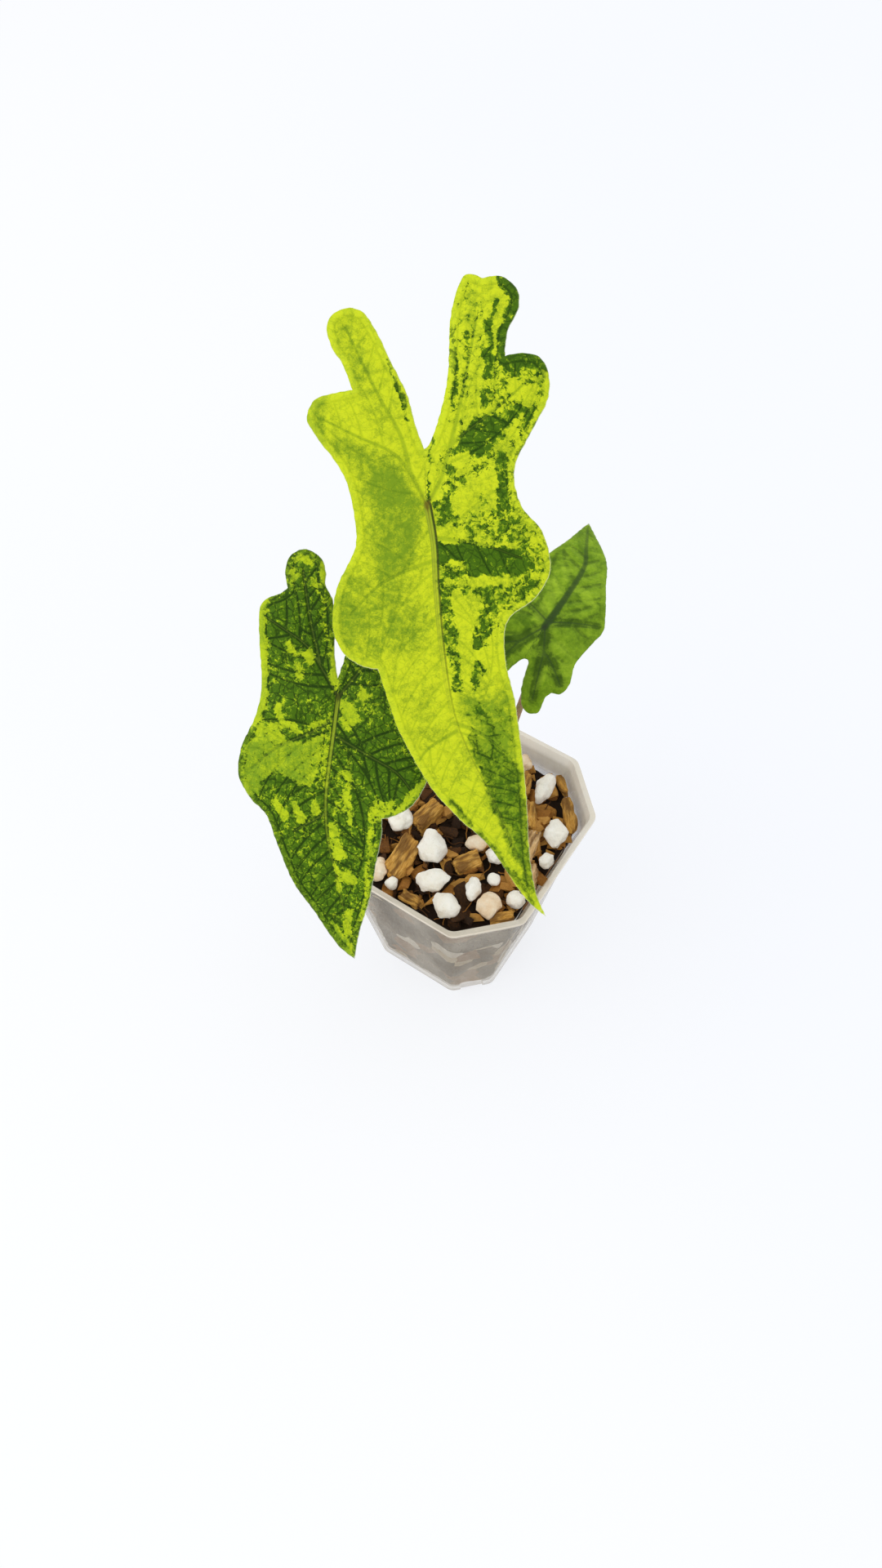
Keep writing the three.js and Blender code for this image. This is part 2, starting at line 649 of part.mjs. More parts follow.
// Leaf stalks from the stem to the underside of each blade: places along the stalk, thickness at foot and top
const STALKS = {
  main: {
    places: [[6.5, 7.9, 70.5], [5, 10, 100], [1, 12, 135], [-4, 12.5, 165], [-7.5, 8, 190],
      [-8.3, 2.2, 201.8]],
    foot: 4.4,
    top: 2.6,
  },
  left: {
    places: [[4.2, 3.7, 70.5], [0, 1, 95], [-9, -3, 120], [-19, -9, 142], [-26.5, -16, 156],
      [-29.7, -21.1, 162.9]],
    foot: 4,
    top: 2.2,
  },
  back: {
    places: [[9.9, 4.1, 70.5], [13, 8.5, 92], [17, 13, 108], [19.3, 15.2, 118], [22, 18, 130],
      [23.4, 20.4, 139.7]],
    foot: 3.4,
    top: 1.6,
  },
};

function tube(places, foot, top, sides, steps) {
  const curve = new THREE.CatmullRomCurve3(places.map(vector));
  const frames = curve.computeFrenetFrames(steps, false);
  const rings = [];
  for (let step = 0; step <= steps; step++) {
    const along = step / steps;
    const radius = THREE.MathUtils.lerp(foot, top, along ** TAPER) / 2;
    rings.push(ring(curve.getPointAt(along), frames.normals[step], frames.binormals[step], radius, sides));
  }
  return skin(rings);
}

function ring(centre, across, up, radius, sides) {
  const points = [];
  for (let i = 0; i < sides; i++) {
    const angle = (i / sides) * 2 * Math.PI;
    const out = across.clone().multiplyScalar(radius * Math.cos(angle));
    points.push(out.addScaledVector(up, radius * Math.sin(angle)).add(centre));
  }
  return points;
}

function stalkSolid(stalk, grow) {
  return solid(tube(stalk.places, stalk.foot + 2 * grow, stalk.top + 2 * grow, STALK.sides, STALK.steps));
}

// Stem: a corm below the bed's top, the clasping stalk bases above it, and roots that spread from the corm
const STEM_PROFILE = [[2.5, 47], [5.6, 51], [6.8, 57], [6.4, 63], [6.2, 67], [6.9, 70], [6.9, 73], [6.2, 75]];

function stemSolid(grow) {
  const across = new THREE.Vector3(1, 0, 0);
  const up = new THREE.Vector3(0, 1, 0);
  const last = STEM_PROFILE.length - 1;
  const rings = STEM_PROFILE.map(([radius, z], i) => {
    const level = i === 0 ? z - grow : i === last ? z + grow : z;
    return ring(new THREE.Vector3(STEM.x, STEM.y, level), across, up, radius + grow, STEM.sides);
  });
  const roots = [];
  for (let i = 0; i < ROOT.count; i++) {
    const [foot, tip] = [2 * (ROOT.thick + grow), 2 * (ROOT.tip + grow)];
    roots.push(solid(tube(rootPlaces(i), foot, tip, ROOT.sides, ROOT.steps)));
  }
  return joined([solid(skin(rings)), ...roots]);
}

function rootPlaces(i) {
  const angle = ((i + ROOT.turn) / ROOT.count) * 2 * Math.PI;
  const reach = ROOT.reaches[i % 2];
  const [high, bend, low] = ROOT.levels;
  const at = (out, z) => {
    const x = STEM.x * (1 - out / ROOT.centring) + out * Math.cos(angle);
    return [x, STEM.y + out * Math.sin(angle), z];
  };
  const knee = 0.6 * reach + ROOT.start;
  return [at(ROOT.start, high), at(knee, bend), at(reach, low), at(reach + ROOT.flare, ROOT.ends[i % 2])];
}

// The whole plant in its pot
const nets = new Map(LEAVES.map((leaf) => [leaf, bladeNet(leaf)]));
const plant = new THREE.Group();
plant.rotation.z = degrees(PLANT_TURN);
plant.updateMatrix();

function place(parent, name, geometry, material) {
  const mesh = new THREE.Mesh(geometry, material);
  mesh.name = name;
  parent.add(mesh);
  return mesh;
}

function addLeaves() {
  for (const leaf of LEAVES) {
    const net = nets.get(leaf);
    const blade = place(plant, `blade_${leaf.name}`, bladeGeometry(leaf, net, 0), leaf.material);
    blade.position.set(...leaf.at);
    blade.rotation.set(degrees(leaf.slope), 0, degrees(leaf.turn), "ZXY");
    blade.updateMatrix();
    const cutter = solid(bladeGeometry(leaf, net, GAP).applyMatrix4(blade.matrix));
    const stalk = largest(stalkSolid(STALKS[leaf.name], 0).subtract(cutter));
    place(plant, `petiole_${leaf.name}`, geometryOf(stalk), STALK_SKIN);
  }
}

function addStem() {
  const sockets = Object.values(STALKS).map((stalk) => stalkSolid(stalk, GAP));
  place(plant, "crown", geometryOf(largest(stemSolid(0).subtract(joined(sockets)))), STEM_SKIN);
}

function addPotAndBed(object) {
  place(object, "pot", potGeometry(), CLEAR_PLASTIC);
  const pieces = loosePieces();
  const hole = stemSolid(GAP).transform(plant.matrix.toArray());
  let bed = potInside(BED.top).add(bedFragments()).subtract(hole);
  for (const piece of pieces) {
    place(object, piece.name, geometryOf(piece.body), piece.material);
    bed = bed.subtract(piece.socket);
  }
  place(object, "bed", geometryOf(largest(bed)), DARK_BARK);
}

const object = new THREE.Group();
object.add(plant);
addPotAndBed(object);
addStem();
addLeaves();

export default object;
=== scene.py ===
import math
import random

import bmesh
import bpy
import numpy as np
from mathutils import Matrix, Vector, noise
from mathutils.geometry import delaunay_2d_cdt


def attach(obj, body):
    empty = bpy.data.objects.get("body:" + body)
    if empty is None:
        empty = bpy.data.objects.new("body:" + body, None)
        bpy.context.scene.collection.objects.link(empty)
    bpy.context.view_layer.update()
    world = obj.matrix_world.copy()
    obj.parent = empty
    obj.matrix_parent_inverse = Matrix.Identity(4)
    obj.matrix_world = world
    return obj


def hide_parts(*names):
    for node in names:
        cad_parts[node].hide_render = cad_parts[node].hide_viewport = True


# Looks of a potted variegated jacklyn alocasia. Lengths are in millimetres until a mesh is made.
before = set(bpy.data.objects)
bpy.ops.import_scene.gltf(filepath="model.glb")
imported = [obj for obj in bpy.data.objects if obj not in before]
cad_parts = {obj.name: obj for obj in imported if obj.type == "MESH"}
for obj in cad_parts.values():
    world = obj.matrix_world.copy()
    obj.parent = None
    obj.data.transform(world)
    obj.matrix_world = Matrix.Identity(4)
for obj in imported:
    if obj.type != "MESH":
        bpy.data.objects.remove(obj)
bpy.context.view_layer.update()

MM = 0.001
FAR = 99.0
PLANT_TURN = math.radians(33.3)
PLANT = Matrix.Rotation(PLANT_TURN, 4, "Z")

# Camera: where the photograph was taken from, in the plant's own axes
VIEW_PLACE = (-5.2, -184.9, 378.6)
VIEW_DOWN = math.radians(57.2)
LENS = 26.0
SENSOR = 36.0

# Floor and light, in metres: the floor glows, but for the matt share that takes shadows
FLOOR_HALF = 6.0
FLOOR_MATT = 0.22
LIGHT_AIM = (0, 0, 0.1)

# Steps between two points of a smooth curve, and how many points are measured at a time
CURVE_STEPS = 24
BATCH = 2000

# The noise vectors that bend the zones take their offsets from this seed, so each run gives the same leaves.
# Each bend is a noise scale and how far it moves a zone's edge.
ZONE_SEED = 5
ZONE_BENDS = ((0.3, 1.0), (0.9, 0.7))
noise.seed_set(ZONE_SEED)

# Leaf blades: what they share, their side veins and their triangle net
BLADE = {
    "thickness": 0.8, "edge": 0.24, "edge_reach": 1.2, "rib_height": 0.6, "groove": 0.13,
    "quilt_reach": 1.6, "spacing": 0.55, "vein_end": 0.8, "keel": 0.1, "keel_round": 3, "wave": 0.9,
    "wave_rate": 0.19, "wave_shift": 1.4, "uneven": 0.16, "uneven_rate": 0.8,
}
TWIG = {
    "seed": 4, "from_ends": 3, "lean": (48, 66), "bend": 1.3, "step": 0.7, "most": 60, "least": 6,
    "margin_gap": 1.7, "meets": 0.6,
}
NET = {"row": 0.866, "from_edge": 0.55, "from_vein": 0.5}

# Where light catches the margin, the stretch of a soft tip, and what sets the underside's pattern apart
LIT_SIDE = (0.55, -0.83)
SOFT_TIP = (38, 54)
UNDER_SHIFT = 40.0

# Each leaf: x to the right, y away from the tip, the stalk at (0, 0). A run is a smooth curve and runs meet
# in corners. A zone is a share of green, a half width (0 for a patch) and its points. A rib line is a place
# across the midrib, a half width, a colour and a strength.
MAIN_LEAF = {
    "name": "main", "at": (-8.3, 2.2, 201.8), "turn": 4, "slope": 44, "reach": 105, "base_reach": 55,
    "half": 28, "tip_droop": 12, "base_droop": 4, "cup": 2,
    "runs": [
        [(0, 12), (-1.7, 17.5), (-3.2, 24), (-6.6, 31.5), (-8.6, 36.2), (-11.6, 41), (-16, 41.8),
         (-19.4, 39), (-18.7, 34), (-16.6, 30.5), (-14.8, 25)],
        [(-14.8, 25), (-18.5, 24.5), (-23, 23.3), (-25, 19.5), (-23.5, 16), (-17.8, 7), (-16, -3),
         (-16.6, -9), (-21, -17), (-22.5, -25.5), (-20.5, -31.5), (-16.5, -34.7), (-13, -35.5)],
        [(-13, -35.5), (-10.7, -44.5), (-8.5, -51.5), (-2.5, -64), (4, -72.5), (11, -80), (19, -93.5),
         (24.5, -99.5)],
        [(24.5, -99.5), (22.3, -93.5), (20.8, -83), (20, -65.5), (18.2, -46), (16, -34.5), (17, -26),
         (23.5, -21.3), (27, -15), (25.3, -7), (20.7, -1), (19.6, 7), (24, 15), (27.5, 21), (28, 26),
         (26, 30), (22, 31), (18.5, 30.5)],
        [(18.5, 30.5), (19.3, 35.5), (22, 40.5), (21.8, 44.5), (18.5, 47.3), (14.5, 47)],
        [(14.5, 47), (12, 48), (9.8, 46.7), (7.2, 39), (6.1, 28), (4.3, 20.5), (1.5, 13.5), (0, 12)],
    ],
    "veins": [
        [(0, 0), (1, -8), (1.1, -18), (1.5, -29), (2.5, -40.5), (4, -49), (7.2, -58), (12.5, -69.5),
         (17, -81), (23, -96)],
        [(0, 0), (-3.3, 7), (-7, 11.5), (-14, 15), (-21.5, 19)],
        [(-3.3, 7), (-5, 15), (-9, 23), (-13, 32), (-15.5, 38)],
        [(0, 0), (3.6, 6), (6, 12.5), (12.5, 17.3), (18.5, 21.5), (24, 26)],
        [(4.6, 9), (6.5, 15), (9.5, 25.5), (12.8, 39)],
        [(1, -7), (11.5, -9), (20.5, -12.5)],
        [(1, -12), (-7, -14.5), (-12.5, -17.5), (-18.5, -23)],
        [(4, -49), (10, -52), (16, -57)],
        [(4.3, -51), (-2, -54.5), (-5, -58)],
    ],
    "level": -0.5,
    "flecks": [
        (0.35, 0, [(2, 10), (15, 21.5), (28, 16), (28.5, -14), (22, -23.5), (10.5, -33), (6, -14.5)]),
        (0.45, 0, [(14.5, 31), (28, 28), (27.5, 21), (21.5, 14.5), (16.5, 18), (12.5, 19), (13, 25)]),
        (0.12, 0, [(19, 25), (25, 25), (25.5, 21.5), (22.5, 20.5), (19, 21.5)]),
        (0.2, 0, [(8.5, 50), (16, 48.5), (15, 37), (13, 25), (9.5, 16.5), (4, 17), (5.5, 37.5)]),
        (0.82, 0, [(16.5, 43.5), (18, 42), (16.5, 37.5), (15.5, 32), (16, 29), (14, 25), (13.5, 30),
                   (14.5, 37)]),
        (0.92, 0, [(17, 47.5), (20, 50), (26, 46), (25.5, 38), (22.5, 32.5), (19, 28.5), (16, 30.5),
                   (16.5, 34.5), (18, 38), (19, 40.5), (20, 43), (18, 45)]),
        (0.95, 0, [(17, 27), (18, 31.5), (24, 33), (30, 28.5), (27, 26), (24, 28), (22, 27.5), (20, 28)]),
        (0.9, 0.7, [(13.5, 23.5), (13.5, 22)]),
        (0.7, 0.6, [(7.5, 36.5), (7.5, 28), (7, 20.5)]),
        (0.65, 0.5, [(11.5, 38.5), (10.5, 32), (9.5, 24.5)]),
        (0.85, 0.9, [(21, 19.5), (23.5, 18)]),
        (0.8, 0, [(6, 10), (8.5, 15.5), (14.5, 18.5), (19.5, 19.5), (20.5, 17), (18, 15.5), (16.5, 13),
                  (14.5, 10.5), (11.5, 9.5), (9, 11)]),
        (1, 0.9, [(10.5, 15.5), (12, 10.5)]),
        (1, 0.9, [(15, 16.5), (17, 13.5)]),
        (0.08, 0, [(15.5, 12), (20, 17), (20.5, 16), (16.5, 11)]),
        (0.5, 0, [(5.5, 11), (10, 10.5), (10.5, 4.5), (6.5, 1), (4.5, 1)]),
        (0.06, 0, [(7.5, 10.5), (10.5, 10), (9.5, 6.5), (7, 7)]),
        (0.88, 1.3, [(16.5, 9.5), (17, 4), (17, -2)]),
        (0.03, 0, [(6, 1), (9.5, 4.5), (15.5, 7), (15, 0.5), (13.5, -3.5), (10, -3), (7, -4)]),
        (0.5, 0.7, [(12, 1.5), (13, -2)]),
        (1, 0.4, [(2, 15), (1, 11), (1, 5), (0.5, 0.5)]),
        (1, 0.5, [(26.5, 18.5), (25, 15.5), (21.5, 10.5)]),
        (0.75, 0, [(1.5, 1), (5.5, 2.5), (6.5, -4), (5.5, -5.5), (1.5, -5)]),
        (0.02, 0, [(2.5, -4.5), (7.5, -5), (7, -7.5), (2.5, -7)]),
        (0.5, 0, [(8, -2), (14.5, -2.5), (15, -8.5), (7.5, -8)]),
        (0.65, 0, [(16, -2), (20, -3.5), (21, -9.5), (15.5, -8)]),
        (0.5, 0, [(19.5, -8), (23.5, -9.5), (24.5, -14), (21, -11)]),
        (1, 0, [(1, -7.5), (6.5, -8.5), (11, -9), (18.5, -10.5), (21.5, -11.5), (23.5, -14), (23.5, -15.5),
                (20, -15.5), (14.5, -16), (9, -15.5), (8, -13.5), (7, -12), (5, -11.5), (3.5, -12.5),
                (1, -12.5)]),
        (0.5, 0, [(1.5, -12.5), (4, -12.5), (7, -12.5), (8, -15.5), (7.5, -20), (1.5, -19.5)]),
        (0.06, 0, [(8.5, -16), (17, -16.5), (17, -18.5), (8.5, -18.5)]),
        (0.6, 0, [(9.5, -18.5), (17, -18), (20.5, -16), (24.5, -16.5), (23, -21), (20.5, -22.5),
                  (16.5, -22.5), (13, -23), (9.5, -21.5)]),
        (0.03, 0, [(5.5, -20.5), (10.5, -20.5), (9.5, -26.5), (8, -31), (5.5, -29)]),
        (0.72, 1.5, [(13, -22.5), (11.5, -26.5), (10, -31.5)]),
        (0.62, 1.7, [(3, -17), (3.5, -23.5), (4, -33)]),
        (0.6, 1.5, [(4.5, -33), (5, -41)]),
        (0.65, 1.5, [(9.5, -36.5), (9, -41)]),
        (0.3, 0, [(6, -42.5), (18, -45), (19.5, -58.5), (12, -55.5), (7, -53)]),
        (1, 0.9, [(9, -46), (10, -47.5)]),
        (0.7, 1.1, [(11.5, -49), (13, -52)]),
        (0.75, 1.3, [(7.5, -53), (10, -59)]),
        (0.76, 0, [(8.5, -58), (12, -54.5), (17.5, -58), (20.5, -70), (21.5, -81.5), (23, -95.5), (20, -91),
                   (16.5, -82), (13.5, -73.5), (10.5, -66)]),
        (0.08, 0.5, [(15.5, -75), (18, -81)]),
        (0.8, 1, [(2, -68.5), (11, -80), (19, -91.5), (21.5, -96)]),
        (0.85, 0.5, [(-7, 31), (-4.2, 24), (-2.6, 18)]),
    ],
    "haze": [
        (0.66, 0, [(-14, 13), (-7, 10.5), (-1, 1), (-2, -12.5), (-12, -16.5), (-13, 0.5)]),
        (0.45, 0, [(-18.5, -13.5), (-3, -15), (-2, -30.5), (-11.5, -34), (-21.5, -29.5), (-22, -20.5)]),
        (0.3, 0, [(-19, 41), (-12.5, 41.5), (-10, 34.5), (-13.5, 26), (-17, 33)]),
        (0.5, 2.1, [(-23, 22.5), (-23, 16.5)]),
        (0.35, 1.8, [(-17.5, 13.5), (-13.5, 7.5)]),
        (0.0, 0, [(7.5, 47.5), (14, 37), (7, 10), (1.5, 3.5), (5, 24)]),
        (0.4, 1.4, [(12, 43), (12, 38)]),
        (0.62, 0, [(5, -42.5), (17, -43), (19, -73), (21, -92), (11.5, -64)]),
    ],
    "rim": 0.4, "soft": 0.03, "soft_tip": 1.1, "grain": 1.0, "stipple": 1.1, "quilt": 0.24,
    "twig_gap": 5,
    "widths": {"rib": (0.7, 0.25), "limb": (0.36, 0.16), "twig": (0.22, 0.12)},
    "strength": {"net": 0.34, "twig": 0.55, "twig_reach": 2.3, "limb": 0.9, "limb_reach": 2.4,
                 "margin": 0.45, "core": 0.1},
    "pale_shade": (0.58, 0.68, 0.62), "shade": (0.36, 0.44, 0.46), "rib_fade": 0.42,
    "rib_lines": [(1.1, 0.4, (48, 62, 18), 0.95), (-0.15, 0.1, (112, 98, 40), 0.5), (-0.85, 0.14,
                  (118, 130, 40), 0.5)],
    "stain": (96, 82, 24),
    "tones": {
        "pale": (199, 211, 31), "haze": (118, 148, 26), "fleck": (112, 144, 18), "deep": (60, 94, 9),
        "rib": (150, 168, 40), "core": (160, 168, 60), "rim": (196, 212, 40), "under": (150, 172, 80),
    },
}
LEFT_LEAF = {
    "name": "left", "at": (-29.7, -21.1, 162.9), "turn": -6, "slope": 42, "reach": 70,
    "base_reach": 39, "half": 24, "tip_droop": 9, "base_droop": 3, "cup": 2,
    "runs": [
        [(-0.4, 4.2), (-1.6, 10.4), (-1.8, 16.4), (-2.8, 22.2), (-4.9, 26), (-5, 29), (-6.6, 32.2),
         (-10.2, 33.9), (-13.6, 32.2), (-14.7, 28.6), (-13.8, 24.6)],
        [(-13.8, 24.6), (-15.6, 23), (-18, 22), (-19.9, 19.6), (-19.6, 12.4), (-18.6, 1), (-19.8, -6.6),
         (-22.6, -14), (-23, -21.2), (-20, -26.8), (-16, -30.8), (-12.8, -38.6), (-8.8, -47.4),
         (-3.6, -54.6), (2.6, -63.4), (7.2, -67)],
        [(7.2, -67), (8.2, -59.2), (10.4, -50), (11.6, -40.2), (12.6, -33), (12.4, -28.8)],
        [(12.4, -28.8), (15.4, -27.8), (19.6, -24.8), (22.6, -18.6), (22.6, -12.4), (20, -5.2), (18.6, 2),
         (19.2, 12.4), (18.8, 18.6), (16, 22.2), (14, 23.6)],
        [(14, 23.6), (14.4, 28.8), (12.4, 33.4), (8.8, 34.6), (5.6, 32), (3.8, 25.8), (2.6, 18.6),
         (1.2, 10.4), (-0.4, 4.2)],
    ],
    "veins": [
        [(0, 0), (-0.6, -9.2), (-1.4, -19.6), (-1.6, -26.8), (-0.6, -36), (1.6, -44.2), (3.8, -53),
         (6.6, -63.8)],
        [(0, 0), (-3.8, 5.6), (-8.2, 11.4), (-14.4, 15.2), (-18.6, 17.6)],
        [(-4.8, 7.8), (-7.8, 17.6), (-10.4, 28.8)],
        [(0, 0), (3.8, 5.2), (7.8, 10.8), (13.4, 14.4), (17.8, 16.4)],
        [(4.8, 7.8), (7.4, 17.6), (9.6, 29.4)],
        [(-0.6, -5.2), (-6.2, -9.2), (-14, -13.4), (-20, -19)],
        [(-0.6, -9.2), (7.8, -13.4), (15, -17), (19, -21.2)],
        [(-1.4, -28.8), (-9.2, -34)],
    ],
    "level": 0.78,
    "flecks": [
        (0.9, 0, [(-19, 20.5), (-12, 24.5), (-6.5, 24.5), (-2.5, 18), (-3, 7.5), (-7.5, 9.5), (-14, 11),
                  (-16.5, 9)]),
        (0.6, 0.8, [(-4.5, 22), (-3, 10)]),
        (0.2, 1, [(-11.5, 31.5), (-9, 31)]),
        (0.25, 1, [(-13, 29), (-12, 27.5)]),
        (0.1, 0.6, [(-6, 31), (-5, 27)]),
        (0, 0.4, [(-7.5, 27), (-5, 22.5)]),
        (0.02, 1.2, [(-19.5, 21), (-19, 10.5), (-18, 2), (-18.5, -4.5), (-20, -8)]),
        (0.12, 0.8, [(-12, 11.5), (-10.5, 10)]),
        (0, 0.9, [(-8.5, 9.5), (-7.5, 8.5)]),
        (0.3, 1, [(-10, 6.5), (-9.5, 3.5)]),
        (0.95, 0, [(-17.5, 1.5), (-10.5, 2.5), (-3.5, 2), (-3, -0.5), (-9.5, -0.5), (-15, -2)]),
        (0.62, 1, [(-13.5, -2), (-12.5, -7)]),
        (0, 0.8, [(-1.5, 11), (-1.5, 7.5), (-0.5, 2.5)]),
        (1, 0, [(-7, 7), (-4, 7.5), (-2, 3.5), (-1, 0.5), (-3.5, -1), (-6.5, 1.5)]),
        (0.78, 0, [(-9, -2.5), (-5.5, -1), (-2.5, -3), (-2, -6.5), (-4, -8), (-6.5, -7), (-8.5, -5.5)]),
        (0.95, 0, [(-12, -4), (-9, -4), (-6, -8), (-7.5, -9), (-11, -7.5)]),
        (0.05, 0.6, [(-6.5, -8), (-4.5, -7), (-2.5, -5.5)]),
        (0.12, 0.6, [(-14, -3), (-13, -7)]),
        (0.1, 0.8, [(-12, -8), (-8.5, -9)]),
        (0.2, 0, [(-17.5, -7), (-13.5, -7), (-11.5, -12), (-3, -10), (-3, -18.5), (-5.5, -23),
                  (-12.5, -20.5), (-21.5, -26.5), (-22.5, -17)]),
        (0.97, 0, [(-18.5, -22.5), (-13.5, -19.5), (-8.5, -21.5), (-9, -23.5), (-13.5, -23)]),
        (0.05, 0.9, [(-14, -26), (-12, -30.5)]),
        (0.05, 0.8, [(-9, -27), (-7.5, -31)]),
        (0.1, 0.6, [(-4.5, -26), (-4, -28.5)]),
        (0.45, 1, [(-2, -5.5), (-2, -21.5)]),
        (0.08, 0, [(0.5, -1.5), (3.5, -0.5), (5.5, -5), (4.5, -7), (2, -7.5)]),
        (0.1, 0.8, [(6.5, 2), (7, 0)]),
        (0.62, 1.4, [(6.5, -2), (8.5, -3)]),
        (0.9, 0, [(5.5, -7), (13, -3.5), (15, -9), (12, -13), (3, -12)]),
        (1, 0, [(4.5, -17), (12, -13), (18, -13.5), (20.5, -17.5), (20, -22.5), (10, -23)]),
        (0.62, 0, [(0, -14), (4.5, -17), (5, -29), (0.5, -29.5)]),
        (0.1, 0.7, [(3.5, -18.5), (4.5, -30.5)]),
        (1, 0, [(5, -24), (9, -23.5), (8.5, -31), (5.5, -30.5)]),
        (0.28, 0, [(10, -24.5), (14.5, -23.5), (15, -26), (10.5, -30), (9.5, -28.5)]),
        (0.22, 0, [(-1, -30), (1.5, -31.5), (4, -40), (1.5, -41.5), (-0.5, -35.5)]),
        (0.05, 0.8, [(1.5, -42.5), (3, -48.5)]),
        (0.1, 1.2, [(3.5, -44.5), (5.5, -45.5)]),
        (0.32, 0.7, [(10.5, -30), (9.5, -41.5), (8.5, -55.5)]),
        (0.9, 0.6, [(12.5, -30), (12.5, -35.5), (11.5, -43)]),
        (0.93, 1.8, [(-3, -32.5), (-1, -41.5), (1, -51)]),
        (0.1, 0.8, [(5, -54), (5.5, -60)]),
        (0.2, 1, [(2.5, -59), (6.5, -65)]),
        (0.05, 0.7, [(21.5, -18.5), (19.5, -23), (15, -27)]),
    ],
    "haze": [
        (0.5, 0, [(-22, -11), (-13, -11.5), (-2, -9.5), (-4.5, -21.5), (-21.5, -25.5)]),
        (0.8, 1.4, [(-12.5, -38), (-5.5, -49.5), (0.5, -59.5), (6, -66)]),
    ],
    "rim": 0.3, "soft": 0.03, "soft_tip": 0, "grain": 1.35, "stipple": 1.4, "quilt": 0.4,
    "twig_gap": 4,
    "widths": {"rib": (0.44, 0.17), "limb": (0.42, 0.2), "twig": (0.3, 0.16)},
    "strength": {"net": 0.42, "twig": 0.62, "twig_reach": 2.0, "limb": 0.95, "limb_reach": 2.4,
                 "margin": 0.5, "core": 0.25},
    "pale_shade": (0.6, 0.68, 0.6), "shade": (0.28, 0.34, 0.36), "rib_fade": 0.6,
    "stain": (52, 58, 18),
    "rib_lines": [(1.2, 0.4, (38, 56, 14), 0.8), (-1.2, 0.4, (38, 56, 14), 0.8), (0, 0.3,
                  (150, 166, 52), 0.4)],
    "tones": {
        "pale": (184, 202, 26), "haze": (118, 150, 28), "fleck": (108, 142, 20), "deep": (63, 97, 9),
        "rib": (142, 160, 32), "core": (120, 134, 52), "rim": (160, 182, 40), "under": (112, 138, 70),
    },
}
BACK_LEAF = {
    "name": "back", "at": (23.4, 20.4, 139.7), "turn": 150, "slope": 0, "reach": 45, "base_reach": 25,
    "half": 17, "tip_droop": 5, "base_droop": 3, "cup": 1.5,
    "runs": [
        [(0, 12), (-1.5, 12.5), (-3, 18.5), (-4.5, 22.5), (-6.5, 25.2), (-9, 26), (-11, 24.5),
         (-10.7, 20.5), (-11.5, 18.5)],
        [(-11.5, 18.5), (-14, 17.6), (-14.6, 14), (-13, 7), (-13.8, -2), (-14.5, -7), (-12.5, -12.5),
         (-8, -22.5), (-4.5, -31), (-0.5, -37), (5, -43), (9, -47.5)],
        [(9, -47.5), (9.6, -43), (10.3, -35), (12, -27.5), (14.5, -18), (15.5, -8), (14.3, 2), (13.2, 10),
         (14, 16.5), (11.8, 20.5), (10, 20.8)],
        [(10, 20.8), (10, 25), (7, 27), (4.3, 24), (2.5, 18.5), (1, 13.5), (0, 12)],
    ],
    "veins": [
        [(0, 0), (0, -14), (1, -27), (4.5, -36), (8.2, -45)],
        [(0, 0), (-3.5, 7.5), (-5.5, 14), (-8, 22.5)],
        [(-3.5, 7.5), (-8, 11), (-12.5, 15.5)],
        [(0, 0), (3.5, 7.5), (5.3, 14), (7.3, 23)],
        [(3.5, 7.5), (8, 11), (12, 16)],
        [(0, -2), (-6, -5), (-12.5, -7.5)],
        [(0, -2), (6.5, -5), (13.5, -8)],
    ],
    "level": 0.6,
    "flecks": [
        (0.1, 2, [(2, 2), (5, -22)]),
        (0.15, 1.6, [(-0.5, -18), (-8, -14.5)]),
        (0.2, 1.3, [(-7.5, 3.5), (-12.5, 8.5)]),
        (0.1, 0.9, [(1, 11), (0, 5.5)]),
        (0.1, 0.9, [(-7, 19.5), (-7, 12.5)]),
        (0.95, 0, [(3, 1), (9, -3), (14.5, -7), (15, 4), (8, 8), (4, 6)]),
        (0.3, 0, [(-3, 4), (-7, 2), (-13, 6), (-14, 14), (-8, 12)]),
    ],
    "haze": [],
    "rim": 0.1, "soft": 1.5, "soft_tip": 0, "grain": 0.3, "stipple": 0.2, "quilt": 0.25,
    "twig_gap": 6,
    "widths": {"rib": (1.1, 0.5), "limb": (0.85, 0.45), "twig": (0.4, 0.25)},
    "strength": {"net": 0.0, "twig": 0.35, "twig_reach": 3.4, "limb": 0.9, "limb_reach": 3.6, "margin": 0.1,
                 "core": 0.6},
    "pale_shade": (0.5, 0.55, 0.7), "shade": (0.4, 0.45, 0.6), "rib_fade": 1.2, "stain": (50, 62, 36),
    "rib_lines": [(0, 0.6, (54, 76, 32), 0.6)],
    "tones": {
        "pale": (164, 194, 46), "haze": (116, 152, 24), "fleck": (92, 130, 16), "deep": (74, 108, 12),
        "rib": (52, 78, 28), "core": (54, 78, 30), "rim": (118, 146, 40), "under": (104, 130, 72),
    },
}
LEAVES = [MAIN_LEAF, LEFT_LEAF, BACK_LEAF]

# Leaf stalks, in the plant's own axes: places along each, thickness at the foot and at the top
STALKS = {
    "main": {
        "places": [(6.5, 7.9, 70.5), (5, 10, 100), (1, 12, 135), (-4, 12.5, 165), (-7.5, 8, 190),
                   (-8.3, 2.2, 201.8)],
        "foot": 4.4, "top": 2.6,
    },
    "left": {
        "places": [(4.2, 3.7, 70.5), (0, 1, 95), (-9, -3, 120), (-19, -9, 142), (-26.5, -16, 156),
                   (-29.7, -21.1, 162.9)],
        "foot": 4.0, "top": 2.2,
    },
    "back": {
        "places": [(9.9, 4.1, 70.5), (13, 8.5, 92), (17, 13, 108), (19.3, 15.2, 118), (22, 18, 130),
                   (23.4, 20.4, 139.7)],
        "foot": 3.4, "top": 1.6,
    },
}
STALK_SPACING = 0.8
STALK_SIDES = 20

